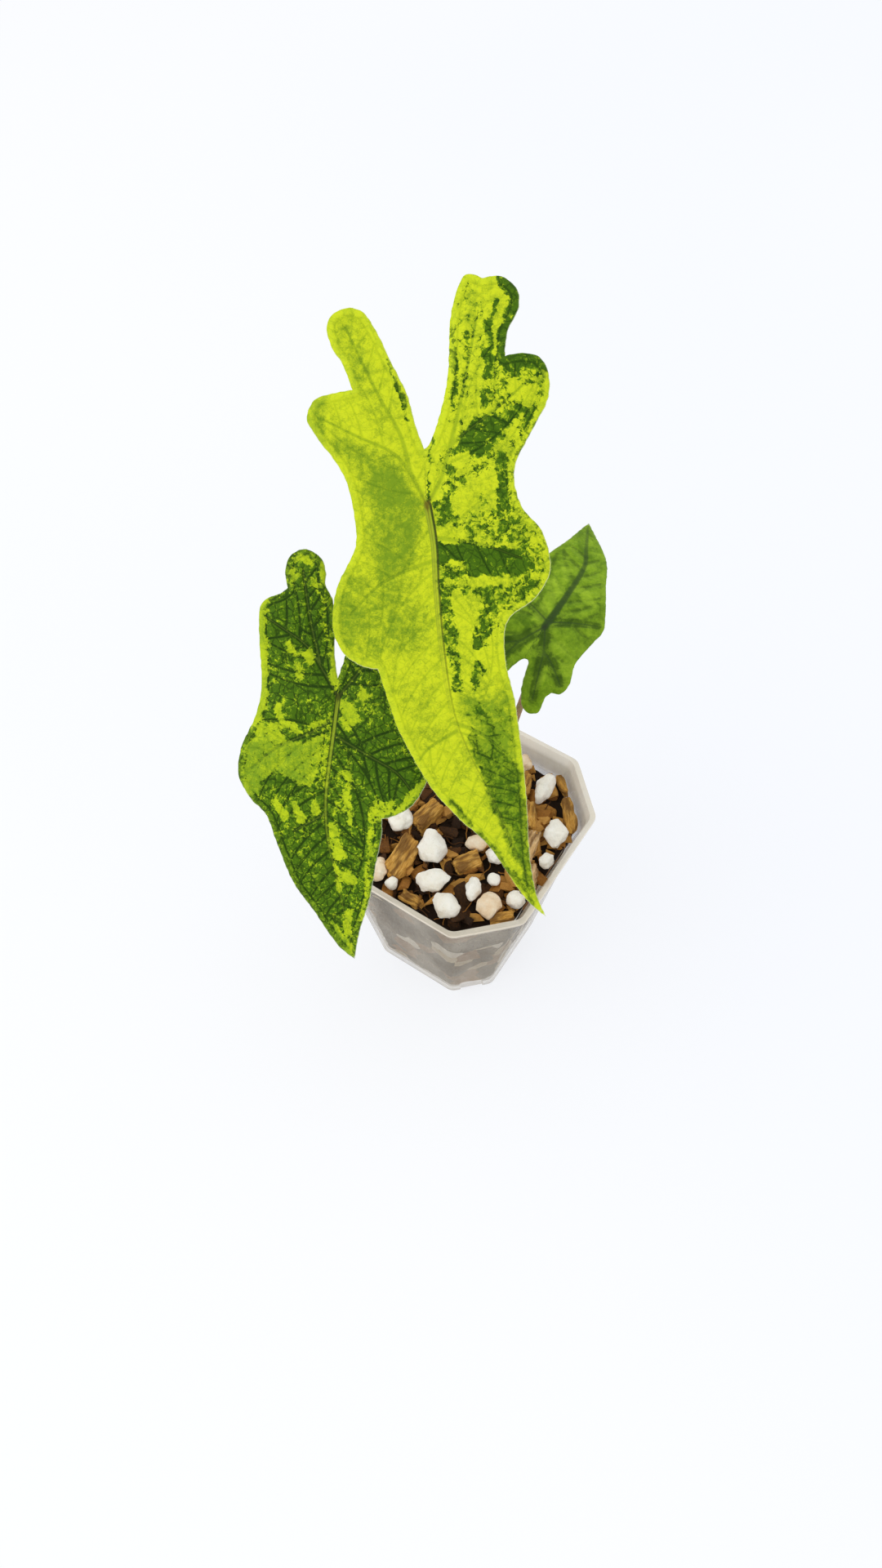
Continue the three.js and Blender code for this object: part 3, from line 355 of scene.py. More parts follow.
# Stem as (radius, height) from its corm up, roots, the stalks' clasping feet and the dry sheaths round them.
# A sheath is its length and the share of the way round that it covers at its foot.
STEM = {"x": 7, "y": 5, "foot_z": 66, "sides": 28}
STEM_PROFILE = [(2.5, 47), (5.6, 51), (6.8, 57), (6.4, 63), (6.2, 67), (6.6, 70), (6.2, 73), (5.2, 75)]
ROOT = {"seed": 9, "sides": 10, "count": 6, "thick": 1.3, "tip": 0.7, "spacing": 1.5}
CLASP = {"points": 14, "foot": 1.6, "top": 0.15}
SHEATH = {"sides": 24, "columns": 13}
SHEATHS = {"main": (20, 0.62), "left": (15, 0.55), "back": (17, 0.6)}

# Hairs: how far apart they stand and the range of their lengths; a stalk's first points stay bare
HAIR = {
    "leaf_seed": 17, "stalk_seed": 31, "radius": 0.035, "margin_gap": 0.4, "rib_gap": 0.7,
    "margin": (0.2, 0.42), "rib": (0.35, 0.6), "stalk": (0.35, 0.65), "bare_foot": 24,
}

# Pot: a square with cut corners, wider at the rim, with a rounded foot, a collar and a lip
POT = {
    "height": 76, "rim_half": 37.5, "base_half": 25,
    "foot": [(24.2, 0), (24.75, 0.2), (25, 0.8)],
    "cut_share": 0.416, "corner_round": 1.8, "corner_steps": 8, "wall": 1, "floor": 1.4, "collar": 8,
    "collar_step": 0.7, "lip": 1.1, "lip_width": 0.6,
}
DRAIN = {"width": 8, "reach": 9, "height": 3, "from_centre": 27}

# Filling: the bed with its fragments, whose width and thickness are shares of their length, and its fibres.
# Loose is how far out they lie along a side, and in x and y together towards a cut corner.
BED = {
    "seed": 21, "top": 66.6, "clear": 0.35, "levels": 34, "sides": 120,
    "top_rings": (0.93, 0.8, 0.62, 0.42, 0.2), "body_shade": 0.1, "chips": 430, "fibres": 70,
    "loose": (32, 47),
}
CHIP = {
    "long": (3, 10), "wide": (0.3, 0.6), "thick": (0.2, 0.4), "corners": 16,
    "shades": (0.12, 0.2, 0.3, 0.42, 0.55, 0.7, 0.9),
}
COIR = {"steps": 10, "step": 0.9, "radius": 0.16, "sides": 5, "shades": (0.4, 0.7)}

# Loose stones and split chips: the grid they are remade on, their relief and their colours; the stones listed
# last are cream and the chips listed last are pale
STONE = {"voxel": 0.42, "smoothing": 5, "lumps": 0.5, "pores": 0.35, "grow": 1.03}
SPLIT = {"voxel": 0.36, "smoothing": 2, "ridges": 0.42, "ends": 0.3}
PUMICE_TONES = {
    "pumice_white": [(0.3, (255, 251, 243)), (0.6, (250, 243, 230)), (0.75, (232, 220, 200))],
    "pumice_cream": [(0.3, (250, 236, 214)), (0.55, (240, 214, 180)), (0.75, (216, 180, 140))],
}
BARK_TONES = {
    "bark_tan": [(0.25, (138, 92, 34)), (0.5, (204, 150, 66)), (0.75, (236, 194, 112))],
    "bark_pale": [(0.25, (170, 124, 74)), (0.5, (222, 180, 124)), (0.75, (240, 214, 170))],
}
CREAM_PUMICE = ("pumice_05", "pumice_08", "pumice_09", "pumice_12")
PALE_BARK = ("bark_07", "bark_08")


# Small tools
def srgb(red, green, blue):
    """The linear colour for a colour written from 0 to 255"""
    def linear(value):
        share = value / 255
        return share / 12.92 if share <= 0.04045 else ((share + 0.055) / 1.055) ** 2.4
    return (linear(red), linear(green), linear(blue), 1.0)


def smooth(values, low, high):
    """0 below low, 1 above high, and a soft step between them"""
    share = np.clip((values - low) / (high - low), 0, 1)
    return share * share * (3 - 2 * share)


def hill(values, width):
    """1 at nothing, falling off softly over the width"""
    return np.exp(-((values / width) ** 2))


def spline(points, spacing):
    """Evenly spaced places on a smooth curve through the points"""
    known = np.array(points, float)
    padded = np.vstack([known[:1], known, known[-1:]])
    t = np.linspace(0, 1, CURVE_STEPS, endpoint=False)[:, None]
    parts = []
    for a, b, c, d in zip(padded, padded[1:], padded[2:], padded[3:]):
        leave = (c - a) / 2
        arrive = (d - b) / 2
        cubic = (2 * b - 2 * c + leave + arrive) * t**3 + (3 * c - 3 * b - 2 * leave - arrive) * t**2
        parts.append(cubic + leave * t + b)
    parts.append(known[-1:])
    return evenly(np.vstack(parts), spacing)


def resampled(line, count, endpoint=True):
    """The same line with its points evenly spaced, in a number that may depend on its length"""
    along = np.concatenate([[0], np.cumsum(np.linalg.norm(np.diff(line, axis=0), axis=1))])
    wanted = np.linspace(0, along[-1], count(along[-1]), endpoint=endpoint)
    return np.stack([np.interp(wanted, along, line[:, axis]) for axis in range(line.shape[1])], axis=1)


def evenly(line, spacing):
    return resampled(line, lambda length: max(2, math.ceil(length / spacing) + 1))


def distances(points, line):
    """How far each point is from a line, and how far along the line its nearest place is, from 0 to 1"""
    start = line[:-1]
    step = line[1:] - start
    length = np.maximum((step**2).sum(1), 1e-12)
    nearest = np.empty(len(points))
    along = np.empty(len(points))
    for first in range(0, len(points), BATCH):
        part = points[first:first + BATCH]
        offset = part[:, None, :] - start[None]
        share = np.clip((offset * step).sum(2) / length, 0, 1)
        gap = np.linalg.norm(offset - share[..., None] * step, axis=2)
        best = gap.argmin(1)
        rows = np.arange(len(part))
        nearest[first:first + BATCH] = gap[rows, best]
        along[first:first + BATCH] = (best + share[rows, best]) / len(start)
    return nearest, along


def inside(points, outline):
    """Which points lie inside a closed outline"""
    a = outline
    b = np.roll(outline, -1, axis=0)
    x, y = points[:, :1], points[:, 1:2]
    crosses = (a[:, 1] > y) != (b[:, 1] > y)
    rise = np.where(b[:, 1] == a[:, 1], 1e-9, b[:, 1] - a[:, 1])
    at = a[:, 0] + (b[:, 0] - a[:, 0]) * (y - a[:, 1]) / rise
    return (crosses & (x < at)).sum(1) % 2 == 1


def closed(outline):
    return np.vstack([outline, outline[:1]])


def moved(points, matrix):
    turned = np.array(matrix.to_3x3()) @ np.asarray(points, float).T
    return turned.T + np.array(matrix.translation)


def turns(count):
    return [2 * math.pi * k / count for k in range(count)]


def around(across, up, angle):
    """The direction at an angle round an axis, from two directions square to it"""
    return across * math.cos(angle) + up * math.sin(angle)


def linked(name, data):
    """A new object, put in the scene"""
    made = bpy.data.objects.new(name, data)
    bpy.context.scene.collection.objects.link(made)
    return made


def set_smooth(mesh, smooth_faces):
    mesh.polygons.foreach_set("use_smooth", [smooth_faces] * len(mesh.polygons))


def mesh_piece(name, points, faces, material, smooth_faces=True):
    """A piece that rides on the part, from points in millimetres"""
    mesh = bpy.data.meshes.new(name)
    mesh.from_pydata([Vector(point) * MM for point in points], [], faces)
    mesh.validate()
    mesh.materials.append(material)
    set_smooth(mesh, smooth_faces)
    piece = linked(name, mesh)
    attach(piece, "root")
    return piece


def stand_for(piece, slot, *nodes):
    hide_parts(*nodes)


def paint(piece, **values):
    """Writes each list of numbers to the mesh, one number a vertex"""
    for name, numbers in values.items():
        layer = piece.data.attributes.new(name, "FLOAT", "POINT")
        layer.data.foreach_set("value", np.asarray(numbers, np.float32))


def applied(piece):
    """Turns the piece's modifiers into its mesh"""
    graph = bpy.context.evaluated_depsgraph_get()
    mesh = bpy.data.meshes.new_from_object(piece.evaluated_get(graph))
    piece.modifiers.clear()
    piece.data = mesh


def remeshed(piece, voxel, smoothing):
    """Runs what the piece is made of together on a fine grid, then softens it"""
    remesh = piece.modifiers.new("finer", "REMESH")
    remesh.mode = "VOXEL"
    remesh.voxel_size = voxel * MM
    soften = piece.modifiers.new("soften", "SMOOTH")
    soften.iterations = smoothing
    applied(piece)


def by_vertex(mesh, key):
    """The mesh's places or normals, one row a vertex"""
    numbers = np.empty(len(mesh.vertices) * 3, np.float32)
    mesh.vertices.foreach_get(key, numbers)
    return numbers.reshape(-1, 3).astype(float)


def set_vertices(mesh, places):
    mesh.vertices.foreach_set("co", (places * MM).astype(np.float32).ravel())
    mesh.update()


def joined(bodies):
    points, faces = [], []
    for body_points, body_faces in bodies:
        first = len(points)
        points.extend(body_points)
        faces.extend(tuple(i + first for i in face) for face in body_faces)
    return points, faces


# Shader nodes: each helper adds one node or a few and gives back what the next one reads
class Shader:
    def __init__(self, name):
        self.material = bpy.data.materials.new(name)
        self.material.use_nodes = True
        self.tree = self.material.node_tree
        self.tree.nodes.clear()
        self.output = self.tree.nodes.new("ShaderNodeOutputMaterial")

    def node(self, kind, inputs, **settings):
        made = self.tree.nodes.new(kind)
        for name, value in settings.items():
            setattr(made, name, value)
        for key, value in inputs.items():
            if isinstance(value, bpy.types.NodeSocket):
                self.tree.links.new(value, made.inputs[key])
            else:
                made.inputs[key].default_value = value
        return made

    def painted(self, name, output="Fac"):
        """What was painted on the mesh under this name"""
        return self.node("ShaderNodeAttribute", {}, attribute_name=name).outputs[output]

    def place(self):
        """The surface's place in the part, in millimetres"""
        coordinates = self.node("ShaderNodeTexCoord", {}).outputs["Object"]
        return self.scaled(coordinates, (1000, 1000, 1000))

    def height(self, place):
        return self.node("ShaderNodeSeparateXYZ", {0: place}).outputs[2]

    def vectors(self, operation, a, b):
        return self.node("ShaderNodeVectorMath", {0: a, 1: b}, operation=operation).outputs[0]

    def scaled(self, vector, factor):
        return self.vectors("MULTIPLY", vector, factor)

    def noise(self, place, scale, detail=3.0, roughness=0.5):
        inputs = {"Vector": place, "Scale": scale, "Detail": detail, "Roughness": roughness}
        return self.node("ShaderNodeTexNoise", inputs).outputs["Fac"]

    def warped(self, place, scale, amount):
        """The place pushed about by noise, so that no pattern on it is straight"""
        inputs = {"Vector": place, "Scale": scale, "Detail": 2.0}
        push = self.node("ShaderNodeTexNoise", inputs).outputs["Color"]
        centred = self.vectors("SUBTRACT", push, (0.5, 0.5, 0.5))
        return self.vectors("ADD", place, self.scaled(centred, (amount, amount, amount)))

    def cells(self, place, scale, feature="F1", output="Distance"):
        inputs = {"Vector": place, "Scale": scale}
        return self.node("ShaderNodeTexVoronoi", inputs, feature=feature).outputs[output]

    def cell_chance(self, place, scale):
        """A random number for each cell"""
        colour = self.cells(place, scale, output="Color")
        return self.node("ShaderNodeSeparateColor", {0: colour}).outputs[0]

    def math(self, operation, a, b=0.0):
        return self.node("ShaderNodeMath", {0: a, 1: b}, operation=operation).outputs[0]

    def plus(self, a, b):
        return self.math("ADD", a, b)

    def minus(self, a, b):
        return self.math("SUBTRACT", a, b)

    def times(self, a, b):
        return self.math("MULTIPLY", a, b)

    def most(self, a, b):
        return self.math("MAXIMUM", a, b)

    def size(self, a):
        return self.math("ABSOLUTE", a)

    def step(self, value, low, high, start=0.0, end=1.0):
        inputs = {"Value": value, "From Min": low, "From Max": high, "To Min": start, "To Max": end}
        return self.node("ShaderNodeMapRange", inputs, interpolation_type="SMOOTHSTEP").outputs[0]

    def mix(self, share, a, b):
        return self.node("ShaderNodeMix", {0: share, 6: a, 7: b}, data_type="RGBA").outputs[2]

    def ramp(self, value, stops):
        """A colour that follows a value through (place, colour) stops"""
        made = self.node("ShaderNodeValToRGB", {"Fac": value})
        elements = made.color_ramp.elements
        while len(elements) < len(stops):
            elements.new(0.5)
        for element, (at, colour) in zip(elements, stops):
            element.position = at
            element.color = srgb(*colour)
        return made.outputs["Color"]

    def bump(self, height, strength, reach):
        inputs = {"Height": height, "Strength": strength, "Distance": reach * MM}
        return self.node("ShaderNodeBump", inputs).outputs["Normal"]

    def grained(self, grain, low, high, strength, reach):
        """Roughness between two values and relief, both from one grain"""
        roughness = self.step(grain, 0.3, 0.7, low, high)
        return {"Roughness": roughness, "Normal": self.bump(grain, strength, reach)}

    def finish(self, **inputs):
        named = {name.replace("_", " "): value for name, value in inputs.items()}
        shader = self.node("ShaderNodeBsdfPrincipled", named)
        self.tree.links.new(shader.outputs[0], self.output.inputs["Surface"])
        return self.material


def lit_inside(weight, radius):
    """Light that passes a little way under the surface"""
    return {"Subsurface_Weight": weight, "Subsurface_Radius": radius, "Subsurface_Scale": MM}


# Leaf blades
def blade_height(leaf, x, y):
    """Height of the blade's middle surface over its flat plane"""
    keel = BLADE["keel"] * (np.sqrt(x * x + BLADE["keel_round"] ** 2) - BLADE["keel_round"])
    tip = leaf["tip_droop"] * (y / leaf["reach"]) ** 2
    base = leaf["base_droop"] * (y / leaf["base_reach"]) ** 2
    side = x / leaf["half"]
    wave = BLADE["wave"] * side**2 * np.sin(BLADE["wave_rate"] * y + BLADE["wave_shift"] * np.sign(x))
    return keel - np.where(y < 0, tip, base) - leaf["cup"] * side**2 + wave


def leaf_matrix(leaf):
    turn = Matrix.Rotation(math.radians(leaf["turn"]), 4, "Z")
    slope = Matrix.Rotation(math.radians(leaf["slope"]), 4, "X")
    return PLANT @ Matrix.Translation(leaf["at"]) @ turn @ slope


def rotated(direction, angle):
    c, s = math.cos(angle), math.sin(angle)
    return np.array([c * direction[0] - s * direction[1], s * direction[0] + c * direction[1]])


def main_veins(leaf, outline, spacing):
    """The midrib and the main veins, each ended just before the margin"""
    border = closed(outline)
    veins = []
    for vein in leaf["veins"]:
        line = spline(vein, spacing)
        veins.append(line[inside(line, outline) & (distances(line, border)[0] > BLADE["vein_end"])])
    return veins


def twigs(leaf, outline, veins, spacing):
    """Side veins that leave the main veins by turns and bend towards their ends"""
    draw = random.Random(TWIG["seed"])
    ends = round(TWIG["from_ends"] / spacing)
    found = []
    for vein in veins:
        at = ends
        side = 1
        while at < len(vein) - ends:
            along = vein[at + 1] - vein[at]
            lean = math.radians(draw.uniform(*TWIG["lean"]))
            heading = rotated(along / np.linalg.norm(along), side * lean)
            twig = grown_twig(vein[at], heading, side, outline, [*veins, *found])
            if len(twig) >= TWIG["least"]:
                found.append(evenly(np.array(twig), spacing))
            side = -side
            at += round(leaf["twig_gap"] * draw.uniform(0.4, 0.6) / spacing)
    return found


def grown_twig(start, heading, side, outline, others):
    """One side vein, grown step by step until it meets another vein or the margin"""
    border = closed(outline)
    twig = [start]
    place = start
    for count in range(TWIG["most"]):
        heading = rotated(heading, -side * math.radians(TWIG["bend"]))
        place = place + TWIG["step"] * heading
        here = place[None]
        if not inside(here, outline)[0] or distances(here, border)[0][0] < TWIG["margin_gap"]:
            break
        twig.append(place)
        if count > 2 and min(distances(here, other)[0][0] for other in others) < TWIG["meets"]:
            break
    return twig


def field(outline, lines, spacing):
    """A triangular grid of points inside the outline, clear of it and of the veins"""
    low, high = outline.min(0), outline.max(0)
    rows = []
    for i, y in enumerate(np.arange(low[1], high[1], spacing * NET["row"])):
        xs = np.arange(low[0] + (i % 2) * spacing / 2, high[0], spacing)
        rows.append(np.stack([xs, np.full(len(xs), y)], axis=1))
    points = np.vstack(rows)
    points = points[inside(points, outline)]
    points = points[distances(points, closed(outline))[0] > NET["from_edge"] * spacing]
    for line in lines:
        points = points[distances(points, line)[0] > NET["from_vein"] * spacing]
    return points


def blade_net(outline, lines, spacing):
    """Flat triangles of a blade, with edges along its outline and its veins"""
    points = [Vector(point) for point in outline]
    edges = [(i, (i + 1) % len(outline)) for i in range(len(outline))]
    for line in lines:
        first = len(points)
        points.extend(Vector(point) for point in line)
        edges.extend((i, i + 1) for i in range(first, len(points) - 1))
    points.extend(Vector(point) for point in field(outline, lines, spacing))
    made = delaunay_2d_cdt(points, edges, [list(range(len(outline)))], 1, 1e-4)
    flat = np.array([tuple(point) for point in made[0]])
    faces = np.array([face for face in made[2] if len(face) == 3])
    a, b, c = flat[faces[:, 0]], flat[faces[:, 1]], flat[faces[:, 2]]
    turn = (b[:, 0] - a[:, 0]) * (c[:, 1] - a[:, 1]) - (b[:, 1] - a[:, 1]) * (c[:, 0] - a[:, 0])
    faces[turn < 0] = faces[turn < 0][:, ::-1]
    return flat, faces[np.abs(turn) > 1e-6]


def leaf_outline(leaf, spacing):
    """The outline with a slightly uneven edge, and its outward directions"""
    outline = np.vstack([spline(run, spacing)[:-1] for run in leaf["runs"]])
    ahead = np.roll(outline, -1, axis=0) - np.roll(outline, 1, axis=0)
    out = np.column_stack([-ahead[:, 1], ahead[:, 0]])
    out /= np.linalg.norm(out, axis=1)[:, None]
    if inside((outline + 0.2 * out)[:1], outline)[0]:
        out = -out
    uneven = [BLADE["uneven"] * noise.noise(Vector((*place, 0)) * BLADE["uneven_rate"]) for place in outline]
    return outline + out * np.array(uneven)[:, None], out


def rim_edges(faces):
    """Edges that only one triangle uses, in that triangle's direction"""
    edges = set()
    for a, b, c in faces.tolist():
        for edge in ((a, b), (b, c), (c, a)):
            if (edge[1], edge[0]) in edges:
                edges.remove((edge[1], edge[0]))
            else:
                edges.add(edge)
    return sorted(edges)


def two_faced(faces, count):
    """The upper triangles, the lower ones turned over, and the strip that joins them round the edge"""
    every = [tuple(face) for face in faces.tolist()]
    every += [(a + count, c + count, b + count) for a, b, c in faces.tolist()]
    every += [(b, a, a + count, b + count) for a, b in rim_edges(faces)]
    return every


def nearness(flat, lines, wide, narrow):
    """Distance to the nearest line, as a share of its half width, which narrows to its end, and plain"""
    best = np.full(len(flat), FAR)
    reach = np.full(len(flat), FAR)
    for line in lines:
        gap, along = distances(flat, line)
        width = wide + (narrow - wide) * along
        best = np.minimum(best, gap / width)
        reach = np.minimum(reach, gap)
    return best, reach


def zone_field(flat, zones, start, soft):
    """The share of green at each point: the last zone that covers it wins, and no zone ends straight"""
    for scale, size in ZONE_BENDS:
        drift = np.array([noise.noise_vector(Vector((x * scale, y * scale, size)))[:2] for x, y in flat])
        flat = flat + size * drift
    value = np.full(len(flat), float(start))
    for share, half, points in zones:
        line = np.array(points, float)
        blur = min(soft, 0.3 + 0.3 * half) if half else soft
        if half:
            depth = half - distances(flat, line)[0]
        else:
            gap = distances(flat, closed(line))[0]
            depth = np.where(inside(flat, line), gap, -gap)
        value += (share - value) * smooth(depth, -blur, blur)
    return value


def measured(leaf, flat, border, veins, small):
    """Distances to the margin and the veins: rib, limb and twig in half widths, rim and gaps in millimetres"""
    widths = leaf["widths"]
    rim, rim_at = distances(flat, border)
    rib, rib_gap = nearness(flat, veins[:1], *widths["rib"])
    limb, limb_gap = nearness(flat, veins[1:], *widths["limb"])
    twig, twig_gap = nearness(flat, small, *widths["twig"])
    ribs_gap = np.minimum(rib_gap, limb_gap + 0.15)
    bays_gap = np.minimum(np.minimum(rib_gap, limb_gap), np.minimum(twig_gap, np.abs(rim - 1.8)))
    return {"rim": rim, "rim_at": rim_at, "rib": rib, "limb": limb, "twig": twig, "twig_gap": twig_gap,
            "ribs_gap": ribs_gap, "bays_gap": bays_gap}


def blade_sides(leaf, flat, near):
    """Heights of the top, quilted and sunken along the veins, and of the underside with its ribs"""
    rim, ribs_gap = near["rim"], near["ribs_gap"]
    calm = smooth(rim, 0, 2.5)
    quilt = leaf["quilt"] * (1 - hill(near["bays_gap"], BLADE["quilt_reach"]) - 0.4)
    height = blade_height(leaf, flat[:, 0], flat[:, 1]) + calm * quilt
    swell = hill(ribs_gap, 0.9) * smooth(rim, 0.8, 12) + 0.25 * hill(near["twig_gap"], 0.4)
    body = BLADE["thickness"] - BLADE["edge"]
    thick = BLADE["edge"] + body * np.sqrt(smooth(rim, 0, BLADE["edge_reach"]))
    top = height + thick / 2 - BLADE["groove"] * calm * hill(ribs_gap, 0.7)
    low = height - thick / 2 - BLADE["rib_height"] * calm * np.clip(swell, 0, 1)
    return top, low


def blade(leaf):
    """A blade with a sunken midrib, ribs under it and a fine edge, painted with its veins and zones"""
    spacing = BLADE["spacing"] * 1
    outline, out = leaf_outline(leaf, spacing)
    veins = main_veins(leaf, outline, spacing)
    small = twigs(leaf, outline, veins, spacing)
    flat, faces = blade_net(outline, [*veins, *small], spacing)
    near = measured(leaf, flat, closed(outline), veins, small)
    points = np.vstack([np.column_stack([flat, side]) for side in blade_sides(leaf, flat, near)])
    name = leaf["name"]
    every = two_faced(faces, len(flat))
    piece = mesh_piece(f"leaf_{name}", moved(points, leaf_matrix(leaf)), every, leaf_skin(leaf))
    away = out[np.minimum((near["rim_at"] * len(outline)).astype(int), len(outline) - 1)]
    paint_blade(piece, leaf, flat, near, veins[0], away)
    stand_for(piece, f"leaf_{name}", f"blade_{name}")


def paint_blade(piece, leaf, flat, near, midrib, away):
    """Writes what the skin reads: the veins, the margin and its light, the stain and the zones of green"""
    x, y = flat.T
    reach = np.hypot(x, y)
    middle = np.interp(-y, -midrib[:, 1], midrib[:, 0])
    both_faces = {
        "rib": near["rib"] * np.sign(x - middle),
        "limb": near["limb"],
        "twig": near["twig"],
        "rim": near["rim"],
        "lit": np.clip(0.25 + 0.9 * (away @ np.array(LIT_SIDE)), 0, 1),
        "stain": 0.55 * hill(reach, 1.0) + 0.6 * hill(near["ribs_gap"], 0.4) * np.exp(-reach / 8),
        "fade": np.clip(1.1 - reach / (leaf["rib_fade"] * leaf["reach"]), 0.1, 1),
        "level": zone_field(flat, leaf["flecks"], leaf["level"], 0.6),
        "haze": zone_field(flat, leaf["haze"], 0.08, 2.4),
        "softness": leaf["soft_tip"] * smooth(-y, *SOFT_TIP),
    }
    paint(piece, **{name: np.tile(numbers, 2) for name, numbers in both_faces.items()})
    paint(piece, under=np.repeat([0.0, 1.0], len(flat)))
    own = np.column_stack([np.tile(flat, (2, 1)), np.repeat([0.0, UNDER_SHIFT], len(flat))])
    layer = piece.data.attributes.new("leaf_place", "FLOAT_VECTOR", "POINT")
    layer.data.foreach_set("vector", own.astype(np.float32).ravel())


# Leaf skin
def fleck_excess(skin, place):
    """How far the level of green beats a patchy, grainy chance"""
    bent = skin.warped(place, 0.5, 1.6)
    coarse = skin.times(skin.noise(bent, 0.5, 3.0, 0.6), 3.0)
    fine = skin.times(skin.noise(bent, 1.3, 5.0, 0.78), 3.4)
    chance = skin.plus(skin.plus(coarse, fine), skin.times(skin.cell_chance(bent, 0.8), 0.5))
    return skin.minus(skin.plus(skin.times(skin.painted("level"), 1.7), 2.6), chance)


def ground_tone(skin, leaf, tones, place, speckle):
    """The yellow-green ground under the flecks, with a soft, stippled green haze"""
    stipple = skin.times(skin.minus(speckle, 0.5), leaf["stipple"])
    broad = skin.step(skin.noise(place, 0.13, 3.0), 0.35, 0.7, -0.12, 0.2)
    mottle = skin.step(skin.noise(skin.warped(place, 0.5, 1.5), 0.6, 5.0, 0.7), 0.3, 0.7, -0.28, 0.28)
    haze = skin.plus(skin.plus(skin.painted("haze"), stipple), skin.plus(broad, mottle))
    return skin.mix(skin.step(haze, -0.15, 0.85), tones["pale"], tones["haze"])


def flecked(skin, leaf, colour, tones, excess, place):
    """Green flecks with a softer fringe, darker where they are deep inside a green zone"""
    soft = skin.plus(skin.painted("softness"), leaf["soft"])
    fringe = skin.step(excess, skin.minus(-0.22, soft), 0.0, 0.0, 0.35)
    colour = skin.mix(fringe, colour, tones["haze"])
    patch = skin.noise(skin.warped(place, 0.8, 1.0), 0.75, 5.0, 0.75)
    depth = skin.plus(excess, skin.step(patch, 0.3, 0.7, -0.55, 0.55))
    green = skin.mix(skin.step(depth, -0.3, 0.9, 0.0, 0.6), tones["fleck"], tones["deep"])
    deep = skin.step(depth, skin.minus(0.24, soft), skin.plus(0.32, soft))
    green = skin.mix(deep, green, tones["deep"])
    cloud = skin.step(skin.noise(place, 1.1, 4.0, 0.7), 0.35, 0.65, 0.0, 0.6)
    green = skin.mix(cloud, green, skin.scaled(green, (1.8, 1.55, 1.4)))
    return skin.mix(skin.step(excess, skin.minus(0.0, soft), soft), colour, green)


def vein_shade(skin, leaf, place):
    """How strongly the side veins, the fine net and the line inside the margin darken the blade"""
    strength = leaf["strength"]
    edge = skin.cells(skin.warped(place, 0.6, 1.2), 0.42, "DISTANCE_TO_EDGE")
    net = skin.step(edge, 0.01, 0.09, strength["net"], 0.0)
    twig = skin.step(skin.painted("twig"), 0.4, strength["twig_reach"], strength["twig"], 0.0)
    limb = skin.step(skin.painted("limb"), 0.6, strength["limb_reach"], strength["limb"], 0.0)
    inner = skin.size(skin.minus(skin.painted("rim"), 1.7))
    margin = skin.step(inner, 0.08, 0.4, strength["margin"], 0.0)
    return skin.most(skin.most(net, twig), skin.most(limb, margin)), edge


def ribbed(skin, leaf, colour, tones):
    """The midrib's band with its fine lines, and the pale middle of the side ribs"""
    rib = skin.painted("rib")
    fade = skin.painted("fade")
    band = skin.step(skin.size(rib), 0.7, 1.3, 0.9, 0.0)
    colour = skin.mix(skin.times(band, fade), colour, tones["rib"])
    for at, half, tone, strength in leaf["rib_lines"]:
        away = skin.size(skin.minus(rib, at))
        line = skin.step(away, 0.5 * half, 1.5 * half, strength, 0.0)
        colour = skin.mix(skin.times(line, skin.math("SQRT", fade)), colour, srgb(*tone))
    core = skin.step(skin.painted("limb"), 0.1, 0.7, leaf["strength"]["core"], 0.0)
    return skin.mix(core, colour, tones["core"])


def margined(skin, leaf, colour, tones):
    """The pale band along the margin, where the flecks leave it clear"""
    clear = skin.step(skin.painted("level"), 0.6, 0.9, leaf["rim"], 0.0)
    band = skin.times(skin.step(skin.painted("rim"), 0.9, 1.6, 1.0, 0.0), clear)
    return skin.mix(band, colour, tones["rim"])


def finished_leaf(skin, leaf, colour, tones):
    """The stain at the stalk, the paler underside and the hairline of light on the margin"""
    colour = skin.mix(skin.step(skin.painted("stain"), 0.1, 0.9, 0.0, 0.85), colour, srgb(*leaf["stain"]))
    colour = skin.mix(skin.painted("under"), colour, skin.mix(0.5, colour, tones["under"]))
    hairline = skin.times(skin.step(skin.painted("rim"), 0.03, 0.22, 0.55, 0.0), skin.painted("lit"))
    return skin.mix(hairline, colour, srgb(232, 236, 200))


def leaf_skin(leaf):
    """Splashed variegation over a hazy ground, then the veins, the midrib and the margin"""
    tones = {name: srgb(*colour) for name, colour in leaf["tones"].items()}
    skin = Shader(f"leaf_{leaf['name']}")
    place = skin.painted("leaf_place", "Vector")
    speckle = skin.noise(place, 3.2, 3.0, 0.75)
    colour = ground_tone(skin, leaf, tones, place, speckle)
    grain = skin.scaled(place, (leaf["grain"], leaf["grain"], leaf["grain"]))
    excess = fleck_excess(skin, grain)
    colour = flecked(skin, leaf, colour, tones, excess, grain)
    colour = margined(skin, leaf, colour, tones)
    shade, edge = vein_shade(skin, leaf, place)
    green = skin.step(excess, -0.3, 0.15)
    dim = skin.mix(green, skin.scaled(colour, leaf["pale_shade"]), skin.scaled(colour, leaf["shade"]))
    colour = skin.mix(skin.times(shade, skin.plus(green, 1.0)), colour, dim)
    colour = finished_leaf(skin, leaf, ribbed(skin, leaf, colour, tones), tones)
    relief = skin.plus(skin.step(edge, 0.0, 0.15), skin.times(speckle, 0.5))
    return skin.finish(
        Base_Color=colour,
        Roughness=skin.step(speckle, 0.2, 0.8, 0.42, 0.6),
        Normal=skin.bump(relief, 0.3, 0.12),
        Specular_IOR_Level=0.08,
        **lit_inside(0.08, (0.5, 0.8, 0.1)),
    )


